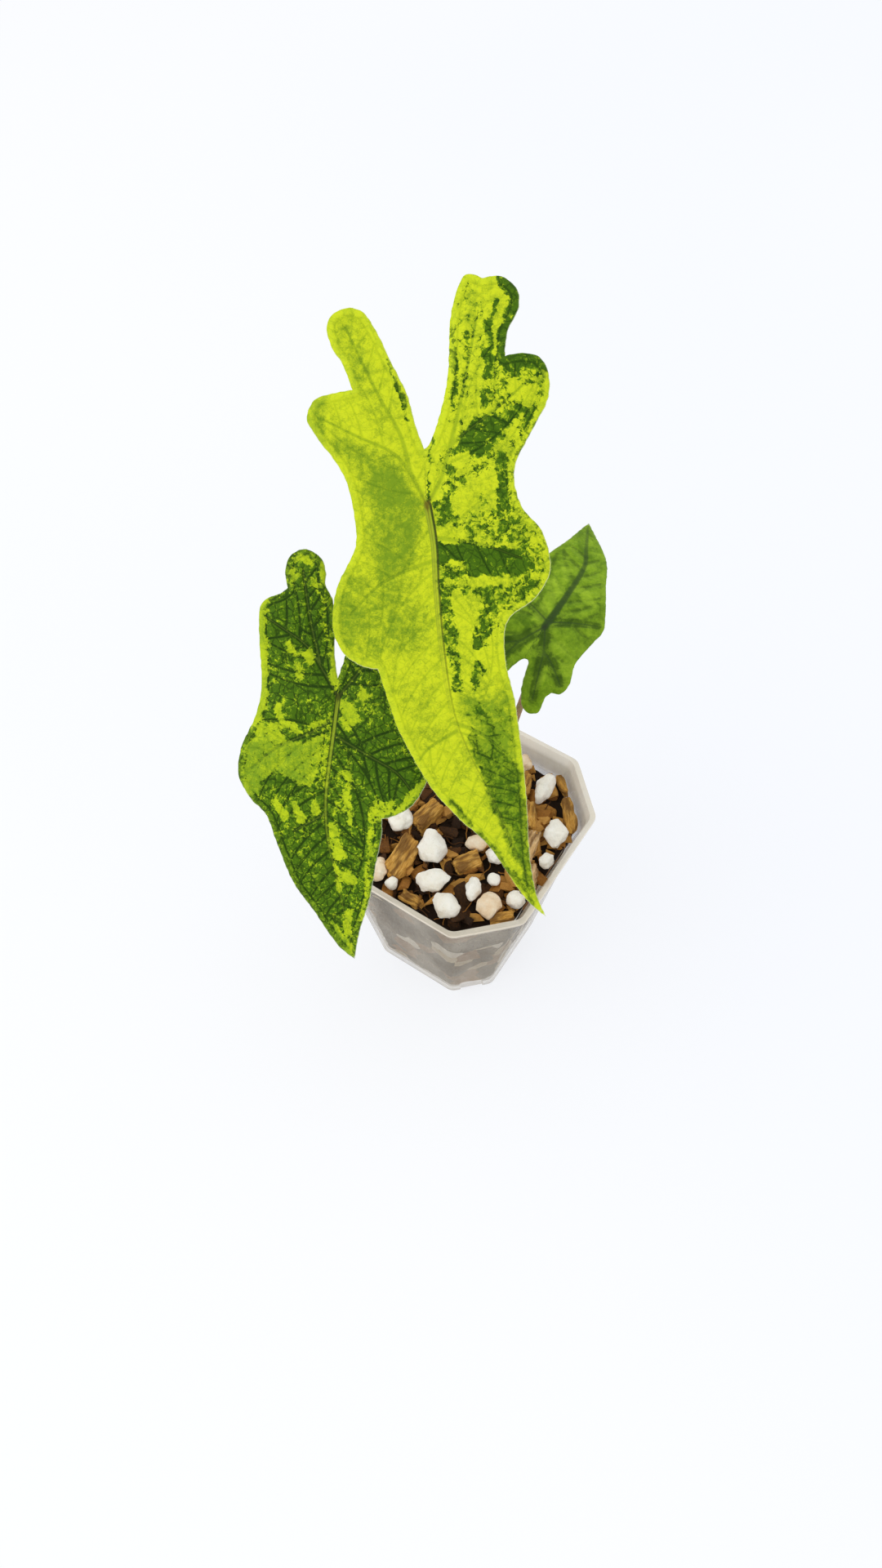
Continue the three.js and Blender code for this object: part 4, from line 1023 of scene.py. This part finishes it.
# Tubes for stalks and roots
def rings_skin(rings):
    """Points and faces over rings of equal count, closed at both ends"""
    count = len(rings[0])
    points = [point for ring in rings for point in ring]
    last = len(points) - count
    faces = []
    for start in range(0, last, count):
        for i in range(count):
            a = start + i
            b = start + (i + 1) % count
            faces.append((a, b, b + count, a + count))
    faces.append(tuple(reversed(range(count))))
    faces.append(tuple(range(last, last + count)))
    return points, faces


def tube_rings(line, radii, sides, ridge=None):
    """Rings round a line of points, square to it and untwisted"""
    rings = []
    across = None
    for i, place in enumerate(line):
        ahead = Vector(line[min(i + 1, len(line) - 1)]) - Vector(line[max(i - 1, 0)])
        ahead.normalize()
        if across is None:
            across = ahead.orthogonal().normalized()
        across = (across - ahead * across.dot(ahead)).normalized()
        up = ahead.cross(across)
        ring = []
        for angle in turns(sides):
            radius = radii[i] * (ridge(i, angle) if ridge else 1)
            ring.append(Vector(place) + around(across, up, angle) * radius)
        rings.append(ring)
    return rings


def stalk_line(name):
    places = STALKS[name]["places"]
    foot = (places[0][0] * 0.6 + STEM["x"] * 0.4, places[0][1] * 0.6 + STEM["y"] * 0.4, STEM["foot_z"])
    return moved(spline([foot, *places], STALK_SPACING)[:-1], PLANT)


def stalk_radius(name, share):
    size = STALKS[name]
    return (size["foot"] + (size["top"] - size["foot"]) * share**0.7) / 2


def stalk_ridge(i, angle):
    """Low ridges along a stalk, a little uneven"""
    return 1 + 0.05 * math.cos(3 * angle) + 0.03 * noise.noise(Vector((i * 0.3, angle, 0)))


def stalk(name):
    """A leaf stalk: wide and clasping at its foot, slim and a little ridged above"""
    line = stalk_line(name)
    share = np.linspace(0, 1, len(line))
    radii = stalk_radius(name, share) + 0.9 * hill(line[:, 2] - STEM["foot_z"], 7)
    radii[-3:] *= [0.9, 0.75, 0.5]
    points, faces = rings_skin(tube_rings(line, radii, STALK_SIDES, stalk_ridge))
    piece = mesh_piece(f"stalk_{name}", points, faces, STALK_SKIN)
    paint(piece, along=np.repeat(share, STALK_SIDES))
    stand_for(piece, "petiole", f"petiole_{name}")


def stalk_skin():
    skin = Shader("petiole")
    drawn = skin.scaled(skin.place(), (1, 1, 0.3))
    blotch = skin.noise(skin.warped(drawn, 0.6, 1.0), 0.8, 4.0, 0.65)
    tint = skin.ramp(blotch, [(0.3, (118, 128, 62)), (0.48, (152, 122, 84)), (0.62, (158, 108, 88)),
                              (0.8, (104, 66, 56))])
    fleck = skin.noise(drawn, 3.2, 3.0, 0.7)
    colour = skin.mix(skin.step(fleck, 0.56, 0.66, 0.0, 0.6), tint, srgb(92, 54, 46))
    colour = skin.mix(skin.step(skin.painted("along"), 0.0, 0.12, 0.6, 0.0), colour, srgb(176, 178, 120))
    return skin.finish(
        Base_Color=colour,
        **skin.grained(fleck, 0.42, 0.6, 0.3, 0.12),
        Specular_IOR_Level=0.35,
        **lit_inside(0.1, (1.0, 0.5, 0.3)),
    )


# Stem, roots and dry sheaths
def stem_rings():
    rings = []
    for radius, z in STEM_PROFILE:
        ring = []
        for angle in turns(STEM["sides"]):
            uneven = 1 + 0.05 * math.sin(2 * angle + z) + 0.03 * math.sin(5 * angle - 0.3 * z)
            x = radius * uneven * math.cos(angle) + STEM["x"]
            y = radius * uneven * math.sin(angle) + STEM["y"]
            ring.append(PLANT @ Vector((x, y, z)))
        rings.append(ring)
    return rings


def root_line(i):
    angle = (i + 0.3) / ROOT["count"] * 2 * math.pi
    reach = 10 if i % 2 else 13
    depth = 30 if i % 2 else 24
    steps = [(3, 52), (0.6 * reach + 3, 48), (reach, 42), (reach + 1.5, 50 - depth)]
    places = []
    for out, z in steps:
        x = STEM["x"] * (1 - out / 30) + out * math.cos(angle)
        places.append((x, STEM["y"] + out * math.sin(angle), z))
    return moved(spline(places, ROOT["spacing"]), PLANT)


def crown():
    """The short stem with its corm, roots and the stalks' clasping feet, run together"""
    draw = random.Random(ROOT["seed"])
    bodies = [rings_skin(stem_rings())]
    for i in range(ROOT["count"]):
        line = root_line(i)
        radii = np.linspace(ROOT["thick"], ROOT["tip"], len(line)) * [draw.uniform(0.9, 1.1) for _ in line]
        bodies.append(rings_skin(tube_rings(line, radii, ROOT["sides"])))
    for name in STALKS:
        line = stalk_line(name)[:CLASP["points"]]
        radii = STALKS[name]["foot"] / 2 + np.linspace(CLASP["foot"], CLASP["top"], len(line))
        bodies.append(rings_skin(tube_rings(line, radii, STALK_SIDES)))
    piece = mesh_piece("crown_fine", *joined(bodies), crown_skin())
    remeshed(piece, 0.4, 3)
    set_smooth(piece.data, True)
    stand_for(piece, "stem", "crown")


def sheath_rows(name, tall, wrap):
    """A papery sheath that clasps a stalk's foot and runs out to a point"""
    line = stalk_line(name)[:int(tall / STALK_SPACING)]
    share = np.linspace(0, 1, len(line))
    radii = STALKS[name]["foot"] / 2 + 1.3 * hill(line[:, 2] - STEM["foot_z"], 8) + 0.35 + 0.3 * share
    sides, columns = SHEATH["sides"], SHEATH["columns"]
    stem = Vector(moved([(STEM["x"], STEM["y"], STEM["foot_z"])], PLANT)[0])
    away = Vector(line[0]) - stem
    rows = []
    for ring, t in zip(tube_rings(line, radii, sides), share):
        middle = sum(ring, Vector()) / len(ring)
        facing = max(range(sides), key=lambda k: (ring[k] - middle).dot(away))
        spread = wrap * (1 - t**1.6) * sides / 2 + 0.6
        row = []
        for k in range(columns):
            at = facing + (k / (columns - 1) * 2 - 1) * spread
            low = ring[math.floor(at) % sides]
            high = ring[(math.floor(at) + 1) % sides]
            row.append(low.lerp(high, at - math.floor(at)))
        rows.append(row)
    return rows


def sheath(name, tall, wrap):
    """A dry sheath as a thin curved sheet with an inner and an outer face"""
    rows = sheath_rows(name, tall, wrap)
    width = len(rows[0])
    outer = [point for row in rows for point in row]
    middle = [sum(row, Vector()) / width for row in rows]
    inner = [point.lerp(middle[i // width], 0.1) for i, point in enumerate(outer)]
    count = len(outer)
    faces = []
    for i in range(len(rows) - 1):
        for k in range(width - 1):
            a = i * width + k
            faces.append((a, a + 1, a + 1 + width, a + width))
            faces.append((a + count, a + width + count, a + 1 + width + count, a + 1 + count))
    border = list(range(width)) + [i * width + width - 1 for i in range(1, len(rows))]
    border += [count - 1 - k for k in range(1, width)] + [i * width for i in range(len(rows) - 2, 0, -1)]
    for a, b in zip(border, border[1:] + border[:1]):
        faces.append((b, a, a + count, b + count))
    piece = mesh_piece(f"sheath_{name}", outer + inner, faces, SHEATH_SKIN)


def sheath_skin():
    skin = Shader("sheath")
    streak = skin.noise(skin.scaled(skin.place(), (1, 1, 0.15)), 2.4, 4.0, 0.65)
    tint = skin.ramp(streak, [(0.3, (122, 92, 56)), (0.5, (168, 140, 92)), (0.7, (196, 176, 130))])
    return skin.finish(Base_Color=tint, Specular_IOR_Level=0.3, **skin.grained(streak, 0.5, 0.75, 0.5, 0.2))


def crown_skin():
    skin = Shader("stem")
    place = skin.place()
    rings = skin.noise(skin.scaled(place, (0.3, 0.3, 1.6)), 1.0, 4.0, 0.6)
    tint = skin.ramp(rings, [(0.3, (84, 70, 38)), (0.5, (128, 122, 66)), (0.7, (156, 152, 92))])
    colour = skin.mix(skin.step(skin.height(place), 60, 69, 1.0, 0.0), tint, srgb(128, 98, 62))
    return skin.finish(Base_Color=colour, Specular_IOR_Level=0.3, **skin.grained(rings, 0.5, 0.75, 0.5, 0.3))


# Fine hairs
def hair_piece(name, hairs):
    """A piece of three-sided cones, one for each (root, direction, length)"""
    cone = [(0, 1, 3), (1, 2, 3), (2, 0, 3), (0, 2, 1)]
    bodies = []
    for root, direction, length in hairs:
        along = Vector(direction).normalized()
        across = along.orthogonal().normalized()
        up = along.cross(across)
        foot = [Vector(root) + around(across, up, angle) * HAIR["radius"] for angle in turns(3)]
        bodies.append(([*foot, Vector(root) + along * length], cone))
    return mesh_piece(name, *joined(bodies), HAIR_SKIN, smooth_faces=False)


def margin_hairs(leaf):
    """Short hairs that stand out from a blade's margin, and from the ribs under it"""
    draw = random.Random(HAIR["leaf_seed"])
    outline, out = leaf_outline(leaf, HAIR["margin_gap"])
    hairs = []
    for place, away in zip(outline, out):
        root = (*(place - 0.06 * away), float(blade_height(leaf, *place)))
        lean = (draw.uniform(-0.5, 0.5), draw.uniform(-0.5, 0.5), draw.uniform(-0.7, 0.5))
        hairs.append((root, (away[0] + lean[0], away[1] + lean[1], lean[2]), draw.uniform(*HAIR["margin"])))
    for vein in leaf["veins"]:
        line = spline(vein, HAIR["rib_gap"])
        for place in line[inside(line, outline)]:
            z = blade_height(leaf, *place) - BLADE["thickness"] / 2 - 0.3
            root = (place[0] + draw.uniform(-0.5, 0.5), place[1], float(z))
            lean = (draw.uniform(-0.8, 0.8), draw.uniform(-0.8, 0.8), -1)
            hairs.append((root, lean, draw.uniform(*HAIR["rib"])))
    matrix = leaf_matrix(leaf)
    roots, directions, lengths = zip(*hairs)
    turned = moved(directions, matrix.to_3x3().to_4x4())
    piece = hair_piece(f"hairs_{leaf['name']}", zip(moved(roots, matrix), turned, lengths))


def stalk_hairs(name):
    draw = random.Random(HAIR["stalk_seed"])
    line = stalk_line(name)
    hairs = []
    for i in range(HAIR["bare_foot"], len(line) - 2):
        radius = stalk_radius(name, i / (len(line) - 1))
        ahead = Vector(line[i + 1] - line[i]).normalized()
        across = ahead.orthogonal().normalized()
        up = ahead.cross(across)
        for _ in range(3):
            away = around(across, up, draw.uniform(0, 2 * math.pi))
            root = Vector(line[i]) + away * radius * 0.95
            hairs.append((root, away + ahead * draw.uniform(-0.4, 0.8), draw.uniform(*HAIR["stalk"])))
    piece = hair_piece(f"stalk_hairs_{name}", hairs)


def hair_skin():
    skin = Shader("hairs")
    tint = skin.ramp(skin.noise(skin.place(), 0.6), [(0.35, (214, 220, 176)), (0.65, (236, 238, 214))])
    return skin.finish(Base_Color=tint, Roughness=0.6, Specular_IOR_Level=0.2)


# Pot
def cut_square(half, z):
    """A square ring with cut, rounded corners"""
    straight = half * (1 - POT["cut_share"])
    corners = []
    for quarter in range(4):
        turn = Matrix.Rotation(quarter * math.pi / 2, 3, "Z")
        corners += [turn @ Vector((half, straight, z)), turn @ Vector((straight, half, z))]
    ring = []
    for i, corner in enumerate(corners):
        before = (corners[i - 1] - corner).normalized() * POT["corner_round"] + corner
        after = (corners[(i + 1) % 8] - corner).normalized() * POT["corner_round"] + corner
        for step in range(POT["corner_steps"] + 1):
            t = step / POT["corner_steps"]
            ring.append(before * (1 - t) ** 2 + corner * 2 * t * (1 - t) + after * t * t)
    return ring


def wall_half(z):
    """Half width of the tapered wall below the collar"""
    collar_half = POT["rim_half"] - POT["lip_width"] - 2 * POT["collar_step"]
    return POT["base_half"] + (collar_half - POT["base_half"]) * z / POT["height"]


def pot_profile():
    """Half widths and heights, up the outside, over the lip and down the inside"""
    top, wall, step = POT["height"], POT["wall"], POT["collar_step"]
    collar = top - POT["collar"]
    lip = top - POT["lip"]
    half = POT["rim_half"] - POT["lip_width"]
    low_half = wall_half(collar)
    floor_half = POT["base_half"] - wall
    outside = [*POT["foot"], (wall_half(collar - 0.3), collar - 0.3), (low_half + 0.1, collar),
               (low_half + step, collar + step), (low_half + step + 0.05, collar + step + 0.3),
               (half, lip), (half + 0.45, lip + 0.05), (half + 0.6, lip + 0.2),
               (half + 0.6, top - 0.2), (half + 0.45, top)]
    inner = [(half - wall + 0.15, top), (half - wall, top - 0.15), (low_half + step - wall, collar + step),
             (low_half - wall, collar), (floor_half + 0.1, POT["floor"] + 0.6),
             (floor_half - 0.5, POT["floor"])]
    return [*outside, *inner]


def pot():
    points, faces = rings_skin([cut_square(width, z) for width, z in pot_profile()])
    piece = mesh_piece("pot_fine", points, faces, pot_skin())
    cutters = [cut_slot(piece, math.pi / 4 + quarter * math.pi / 2) for quarter in range(4)]
    applied(piece)
    for cutter in cutters:
        bpy.data.objects.remove(cutter)
    set_smooth(piece.data, True)
    piece.data.set_sharp_from_angle(angle=math.radians(32))
    stand_for(piece, "clear_plastic", "pot")


def cut_slot(piece, angle):
    """Cuts one drain slot through a corner of the floor; gives back the block that cuts it"""
    shape = bmesh.new()
    bmesh.ops.create_cube(shape, size=MM)
    bmesh.ops.scale(shape, vec=(DRAIN["reach"], DRAIN["width"], 2 * DRAIN["height"]), verts=shape.verts)
    bmesh.ops.translate(shape, vec=(DRAIN["from_centre"] * MM, 0, 0), verts=shape.verts)
    bmesh.ops.rotate(shape, cent=(0, 0, 0), matrix=Matrix.Rotation(angle, 3, "Z"), verts=shape.verts)
    mesh = bpy.data.meshes.new("slot_cutter")
    shape.to_mesh(mesh)
    shape.free()
    cutter = linked("slot_cutter", mesh)
    cutter.hide_render = True
    cut = piece.modifiers.new("slot", "BOOLEAN")
    cut.operation = "DIFFERENCE"
    cut.solver = "MANIFOLD"
    cut.object = cutter
    return cutter


def pot_skin():
    """Milky clear plastic: the filling shows as blotches through it, least at the collar and rim. The upper
    collar and the lip are painted paler all round, a painted highlight along the rim.
    """
    skin = Shader("clear_plastic")
    place = skin.place()
    height = skin.height(place)
    cloud = skin.noise(skin.scaled(place, (1, 1, 0.5)), 0.09, 3.0)
    scuff = skin.noise(skin.scaled(place, (1, 1, 0.3)), 0.9, 4.0, 0.7)
    cover = skin.plus(skin.step(height, 66, 69, 0.34, 0.58), skin.step(cloud, 0.3, 0.7, -0.05, 0.08))
    colour = skin.ramp(cloud, [(0.3, (158, 143, 116)), (0.7, (208, 196, 172))])
    # Painted highlight: the upper collar and the lip are painted paler all round
    colour = skin.mix(skin.step(height, 72, 74), colour, srgb(236, 226, 208))
    return skin.finish(
        Base_Color=colour,
        Alpha=cover,
        **skin.grained(scuff, 0.14, 0.3, 0.02, 0.1),
        Specular_IOR_Level=0.5,
        IOR=1.49,
    )


# Filling: the bed's body, its loose fragments and fibres
def bed():
    draw = random.Random(BED["seed"])
    parts = [(bed_body(), BED["body_shade"])]
    parts += [bed_chip(draw) for _ in range(BED["chips"])]
    parts += [fibre(draw) for _ in range(BED["fibres"])]
    points, faces = joined(body for body, _ in parts)
    piece = mesh_piece("bed_fine", points, faces, bed_skin(), smooth_faces=False)
    paint(piece, shade=[shade for body, shade in parts for _ in body[0]])
    stand_for(piece, "bark_dark", "bed")


def bed_body():
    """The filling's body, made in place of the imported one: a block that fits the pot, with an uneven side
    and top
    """
    clear = POT["wall"] + BED["clear"]
    widest = wall_half(POT["height"] - POT["collar"])
    rings = []
    for z in np.linspace(POT["floor"] + 0.4, BED["top"], BED["levels"]):
        rough = []
        for point in even_ring(cut_square(min(wall_half(z), widest) - clear, z), BED["sides"]):
            pull = 0.5 + 0.5 * noise.noise(point * 0.22) + 0.3 * noise.noise(point * 0.6)
            inward = Vector((point.x, point.y, 0)).normalized()
            rough.append(point - inward * max(0, pull) * 1.1)
        rings.append(rough)
    rim = rings[-1]
    for share in BED["top_rings"]:
        ring = []
        for point in rim:
            inner = Vector((point.x * share, point.y * share, 0))
            inner.z = BED["top"] + 1.2 * noise.noise(inner * 0.16) + 0.6 * noise.noise(inner * 0.5)
            ring.append(inner)
        rings.append(ring)
    return rings_skin(rings)


def even_ring(ring, count):
    line = np.array([tuple(point) for point in [*ring, ring[0]]])
    return [Vector(point) for point in resampled(line, lambda _: count, endpoint=False)]


def bed_place(draw):
    """A place on the bed, inside the pot's cut square"""
    half, corner = BED["loose"]
    while True:
        x, y = draw.uniform(-half, half), draw.uniform(-half, half)
        if abs(x) + abs(y) < corner:
            return x, y


def chip_shape(draw):
    """A lengthened, uneven hull"""
    long = draw.uniform(*CHIP["long"])
    size = Vector((long, draw.uniform(*CHIP["wide"]) * long, draw.uniform(*CHIP["thick"]) * long))
    shape = bmesh.new()
    for _ in range(CHIP["corners"]):
        corner = Vector((draw.uniform(-1, 1), draw.uniform(-1, 1), draw.uniform(-1, 1)))
        corner *= 1 / max(abs(corner.x), abs(corner.y), abs(corner.z))
        corner *= draw.uniform(0.75, 1)
        shape.verts.new(corner * size / 2)
    made = bmesh.ops.convex_hull(shape, input=shape.verts)
    bmesh.ops.delete(shape, geom=made["geom_interior"], context="VERTS")
    shape.verts.index_update()
    return shape


def bed_chip(draw):
    """A fragment of bark at a place on the bed, more golden to the pot's right"""
    shape = chip_shape(draw)
    x, y = bed_place(draw)
    turn = Matrix.Rotation(draw.uniform(0, math.pi), 4, "Z")
    tilt = Matrix.Rotation(draw.uniform(-0.6, 0.6), 4, "Y")
    place = Matrix.Translation((x, y, BED["top"] + draw.uniform(-0.3, 1.9))) @ (turn @ tilt)
    points = [place @ vert.co for vert in shape.verts]
    faces = [tuple(vert.index for vert in face.verts) for face in shape.faces]
    shape.free()
    golden = min(max((0.84 * x + 0.55 * y - 4) / 14, 0), 1)
    return (points, faces), min(draw.choice(CHIP["shades"]) + 0.5 * golden, 0.95)


def fibre(draw):
    """A curled coir fibre on the bed"""
    x, y = bed_place(draw)
    heading = draw.uniform(0, 2 * math.pi)
    place = Vector((x, y, BED["top"] + draw.uniform(0.8, 2.2)))
    line = [place.copy()]
    for _ in range(COIR["steps"]):
        heading += draw.uniform(-0.5, 0.5)
        place += Vector((math.cos(heading), math.sin(heading), draw.uniform(-0.35, 0.3))) * COIR["step"]
        line.append(place.copy())
    half, corner = (limit + 1 for limit in BED["loose"])
    sizes = [(abs(point.x), abs(point.y)) for point in line]
    inner = [point for point, size in zip(line, sizes) if max(size) < half and sum(size) < corner]
    inner = inner if len(inner) > 3 else line[:2] + line[:2]
    radii = [COIR["radius"]] * len(inner)
    return rings_skin(tube_rings(inner, radii, COIR["sides"])), draw.choice(COIR["shades"])


def bed_skin():
    """Dark bark and coir, with tan and pale pieces that show where the filling meets the wall"""
    skin = Shader("bark_dark")
    place = skin.place()
    grain = skin.noise(skin.warped(place, 0.8, 1.5), 1.4, 5.0, 0.7)
    shade = skin.plus(skin.painted("shade"), skin.times(skin.minus(grain, 0.5), 0.5))
    colour = skin.ramp(shade, [(0.0, (26, 17, 11)), (0.25, (52, 34, 20)), (0.5, (98, 62, 30)),
                               (0.75, (164, 110, 46)), (1.0, (208, 156, 80))])
    pick = skin.cell_chance(skin.warped(place, 0.2, 1.6), 0.13)
    lumps = skin.ramp(pick, [(0.0, (44, 30, 19)), (0.42, (70, 46, 26)), (0.58, (140, 96, 52)),
                             (0.82, (206, 190, 160)), (0.93, (236, 230, 218))])
    lumps.node.color_ramp.interpolation = "CONSTANT"
    low = skin.step(skin.height(place), BED["top"] - 2.5, BED["top"] - 1, 1.0, 0.0)
    return skin.finish(Base_Color=skin.mix(low, colour, lumps), Specular_IOR_Level=0.2,
                       **skin.grained(grain, 0.75, 0.95, 0.7, 0.5))


# Loose bark chips and pumice, made finer from the CAD solids
def refined(node, name, voxel, smoothing, material):
    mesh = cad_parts[node].data.copy()
    mesh.materials.clear()
    mesh.materials.append(material)
    piece = linked(name, mesh)
    remeshed(piece, voxel, smoothing)
    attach(piece, "root")
    return piece


def pumice(node, name, slot):
    """A stone with rounded corners, low lumps and open pores"""
    piece = refined(node, name, STONE["voxel"], STONE["smoothing"], SKINS[slot])
    places = by_vertex(piece.data, "co") / MM
    centre = places.mean(0)
    push = np.empty(len(places))
    for i, place in enumerate(places):
        at = Vector(place)
        lumps = noise.fractal(at * 0.32, 1.0, 2.0, 3)
        pores = noise.voronoi(at * 0.9)[0][0]
        push[i] = STONE["lumps"] * lumps - STONE["pores"] * max(0.0, 0.42 - pores)
    outward = by_vertex(piece.data, "normal") * push[:, None]
    set_vertices(piece.data, centre + (places - centre) * STONE["grow"] + outward)
    set_smooth(piece.data, True)
    stand_for(piece, slot, node)


def bark(node, name, slot):
    """A split chip of bark with layers and ridges along its length"""
    piece = refined(node, name, SPLIT["voxel"], SPLIT["smoothing"], SKINS[slot])
    places = by_vertex(piece.data, "co") / MM
    middle = places - places.mean(0)
    own = middle @ np.linalg.eigh(np.cov(middle.T))[1]
    push = np.empty(len(places))
    for i, place in enumerate(own):
        ridges = noise.fractal(Vector((place[0] * 1.3, place[1] * 1.1, place[2] * 0.16)), 1.0, 2.0, 3)
        push[i] = SPLIT["ridges"] * ridges + SPLIT["ends"] * noise.noise(Vector(place) * 0.5)
    set_vertices(piece.data, places + by_vertex(piece.data, "normal") * push[:, None])
    paint(piece, grain_x=own[:, 0], grain_y=own[:, 1], grain_z=own[:, 2])
    set_smooth(piece.data, False)
    stand_for(piece, slot, node)


def pumice_skin(name, stops):
    skin = Shader(name)
    place = skin.place()
    pores = skin.cells(skin.warped(place, 1.0, 0.6), 1.3)
    tint = skin.ramp(skin.noise(place, 0.22, 4.0, 0.6), stops)
    relief = skin.plus(pores, skin.noise(place, 2.5, 4.0, 0.7))
    return skin.finish(
        # Painted shade: the pores, which the bump sinks, are painted darker
        Base_Color=skin.mix(skin.step(pores, 0.0, 0.28, 0.3, 0.0), tint, srgb(176, 164, 146)),
        Roughness=skin.step(pores, 0.0, 0.6, 0.95, 0.85),
        Normal=skin.bump(relief, 0.45, 0.4),
        Specular_IOR_Level=0.2,
        **lit_inside(0.1, (1.0, 0.9, 0.8)),
    )


def bark_skin(name, stops):
    """Fibres that run along the chip, in darker and lighter layers"""
    skin = Shader(name)
    axes = {i: skin.painted(f"grain_{axis}") for i, axis in enumerate("xyz")}
    own = skin.node("ShaderNodeCombineXYZ", axes).outputs[0]
    fibres = skin.noise(skin.scaled(skin.warped(own, 0.3, 1.2), (1.6, 1.6, 0.2)), 1.6, 5.0, 0.7)
    layers = skin.noise(skin.scaled(own, (0.5, 0.5, 0.12)), 1.0, 3.0)
    tint = skin.ramp(fibres, stops)
    colour = skin.mix(skin.step(layers, 0.42, 0.62, 0.0, 0.75), tint, srgb(96, 60, 28))
    return skin.finish(Base_Color=colour, Specular_IOR_Level=0.25,
                       **skin.grained(fibres, 0.7, 0.9, 0.8, 0.5))


# Floor, light and camera
def floor():
    mesh = bpy.data.meshes.new("floor")
    corners = [(-1, -1), (1, -1), (1, 1), (-1, 1)]
    mesh.from_pydata([(x * FLOOR_HALF, y * FLOOR_HALF, 0) for x, y in corners], [], [(0, 1, 2, 3)])
    plane = linked("floor", mesh)
    skin = Shader("floor")
    # Painted shade: faint bluish patches over the near-white floor
    cloud = skin.noise(skin.place(), 0.0015, 1.0)
    colour = skin.mix(skin.step(cloud, 0.35, 0.65), srgb(247, 249, 254), srgb(250, 251, 253))
    glow = skin.node("ShaderNodeEmission", {"Color": colour, "Strength": 1.0}).outputs[0]
    matt = skin.node("ShaderNodeBsdfDiffuse", {"Color": colour}).outputs[0]
    both = skin.node("ShaderNodeMixShader", {"Fac": FLOOR_MATT, 1: glow, 2: matt})
    skin.tree.links.new(both.outputs[0], skin.output.inputs["Surface"])
    mesh.materials.append(skin.material)


def area_light(name, place, size, power, colour):
    lamp = bpy.data.lights.new(name, "AREA")
    lamp.size = size
    lamp.energy = power
    lamp.color = colour
    stand = linked(name, lamp)
    stand.location = PLANT.to_3x3() @ Vector(place)
    aim = Vector(LIGHT_AIM) - stand.location
    stand.rotation_euler = aim.to_track_quat("-Z", "Y").to_euler()


def light():
    world = bpy.data.worlds.new("studio")
    bpy.context.scene.world = world
    world.use_nodes = True
    sky = world.node_tree.nodes["Background"]
    sky.inputs["Color"].default_value = (0.96, 0.98, 1.0, 1.0)
    sky.inputs["Strength"].default_value = 0.97
    area_light("window", (-0.7, -0.35, 1.0), 0.9, 4.0, (1.0, 0.99, 0.97))
    area_light("fill", (0.8, 0.5, 0.9), 1.0, 1.0, (0.97, 0.98, 1.0))


def camera():
    lens = bpy.data.cameras.new("camera")
    lens.sensor_fit = "VERTICAL"
    lens.sensor_height = SENSOR
    lens.lens = LENS
    lens.clip_start = 0.01
    stand = linked("camera", lens)
    tilt = Matrix.Rotation(math.pi / 2 - VIEW_DOWN, 4, "X")
    stand.matrix_world = PLANT @ Matrix.Translation(Vector(VIEW_PLACE) * MM) @ tilt
    bpy.context.scene.camera = stand


STALK_SKIN = stalk_skin()
HAIR_SKIN = hair_skin()
SHEATH_SKIN = sheath_skin()
SKINS = {name: pumice_skin(name, stops) for name, stops in PUMICE_TONES.items()}
SKINS.update({name: bark_skin(name, stops) for name, stops in BARK_TONES.items()})

for leaf in LEAVES:
    blade(leaf)
    margin_hairs(leaf)
for name in STALKS:
    stalk(name)
    stalk_hairs(name)
crown()
for name, (tall, wrap) in SHEATHS.items():
    sheath(name, tall, wrap)
pot()
bed()
for node in sorted(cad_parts):
    if node.startswith("pumice_"):
        pumice(node, f"stone_{node[-2:]}", "pumice_cream" if node in CREAM_PUMICE else "pumice_white")
    if node.startswith("bark_"):
        bark(node, f"chip_{node[-2:]}", "bark_pale" if node in PALE_BARK else "bark_tan")
floor()
light()
camera()
bpy.context.scene.view_settings.view_transform = "Standard"
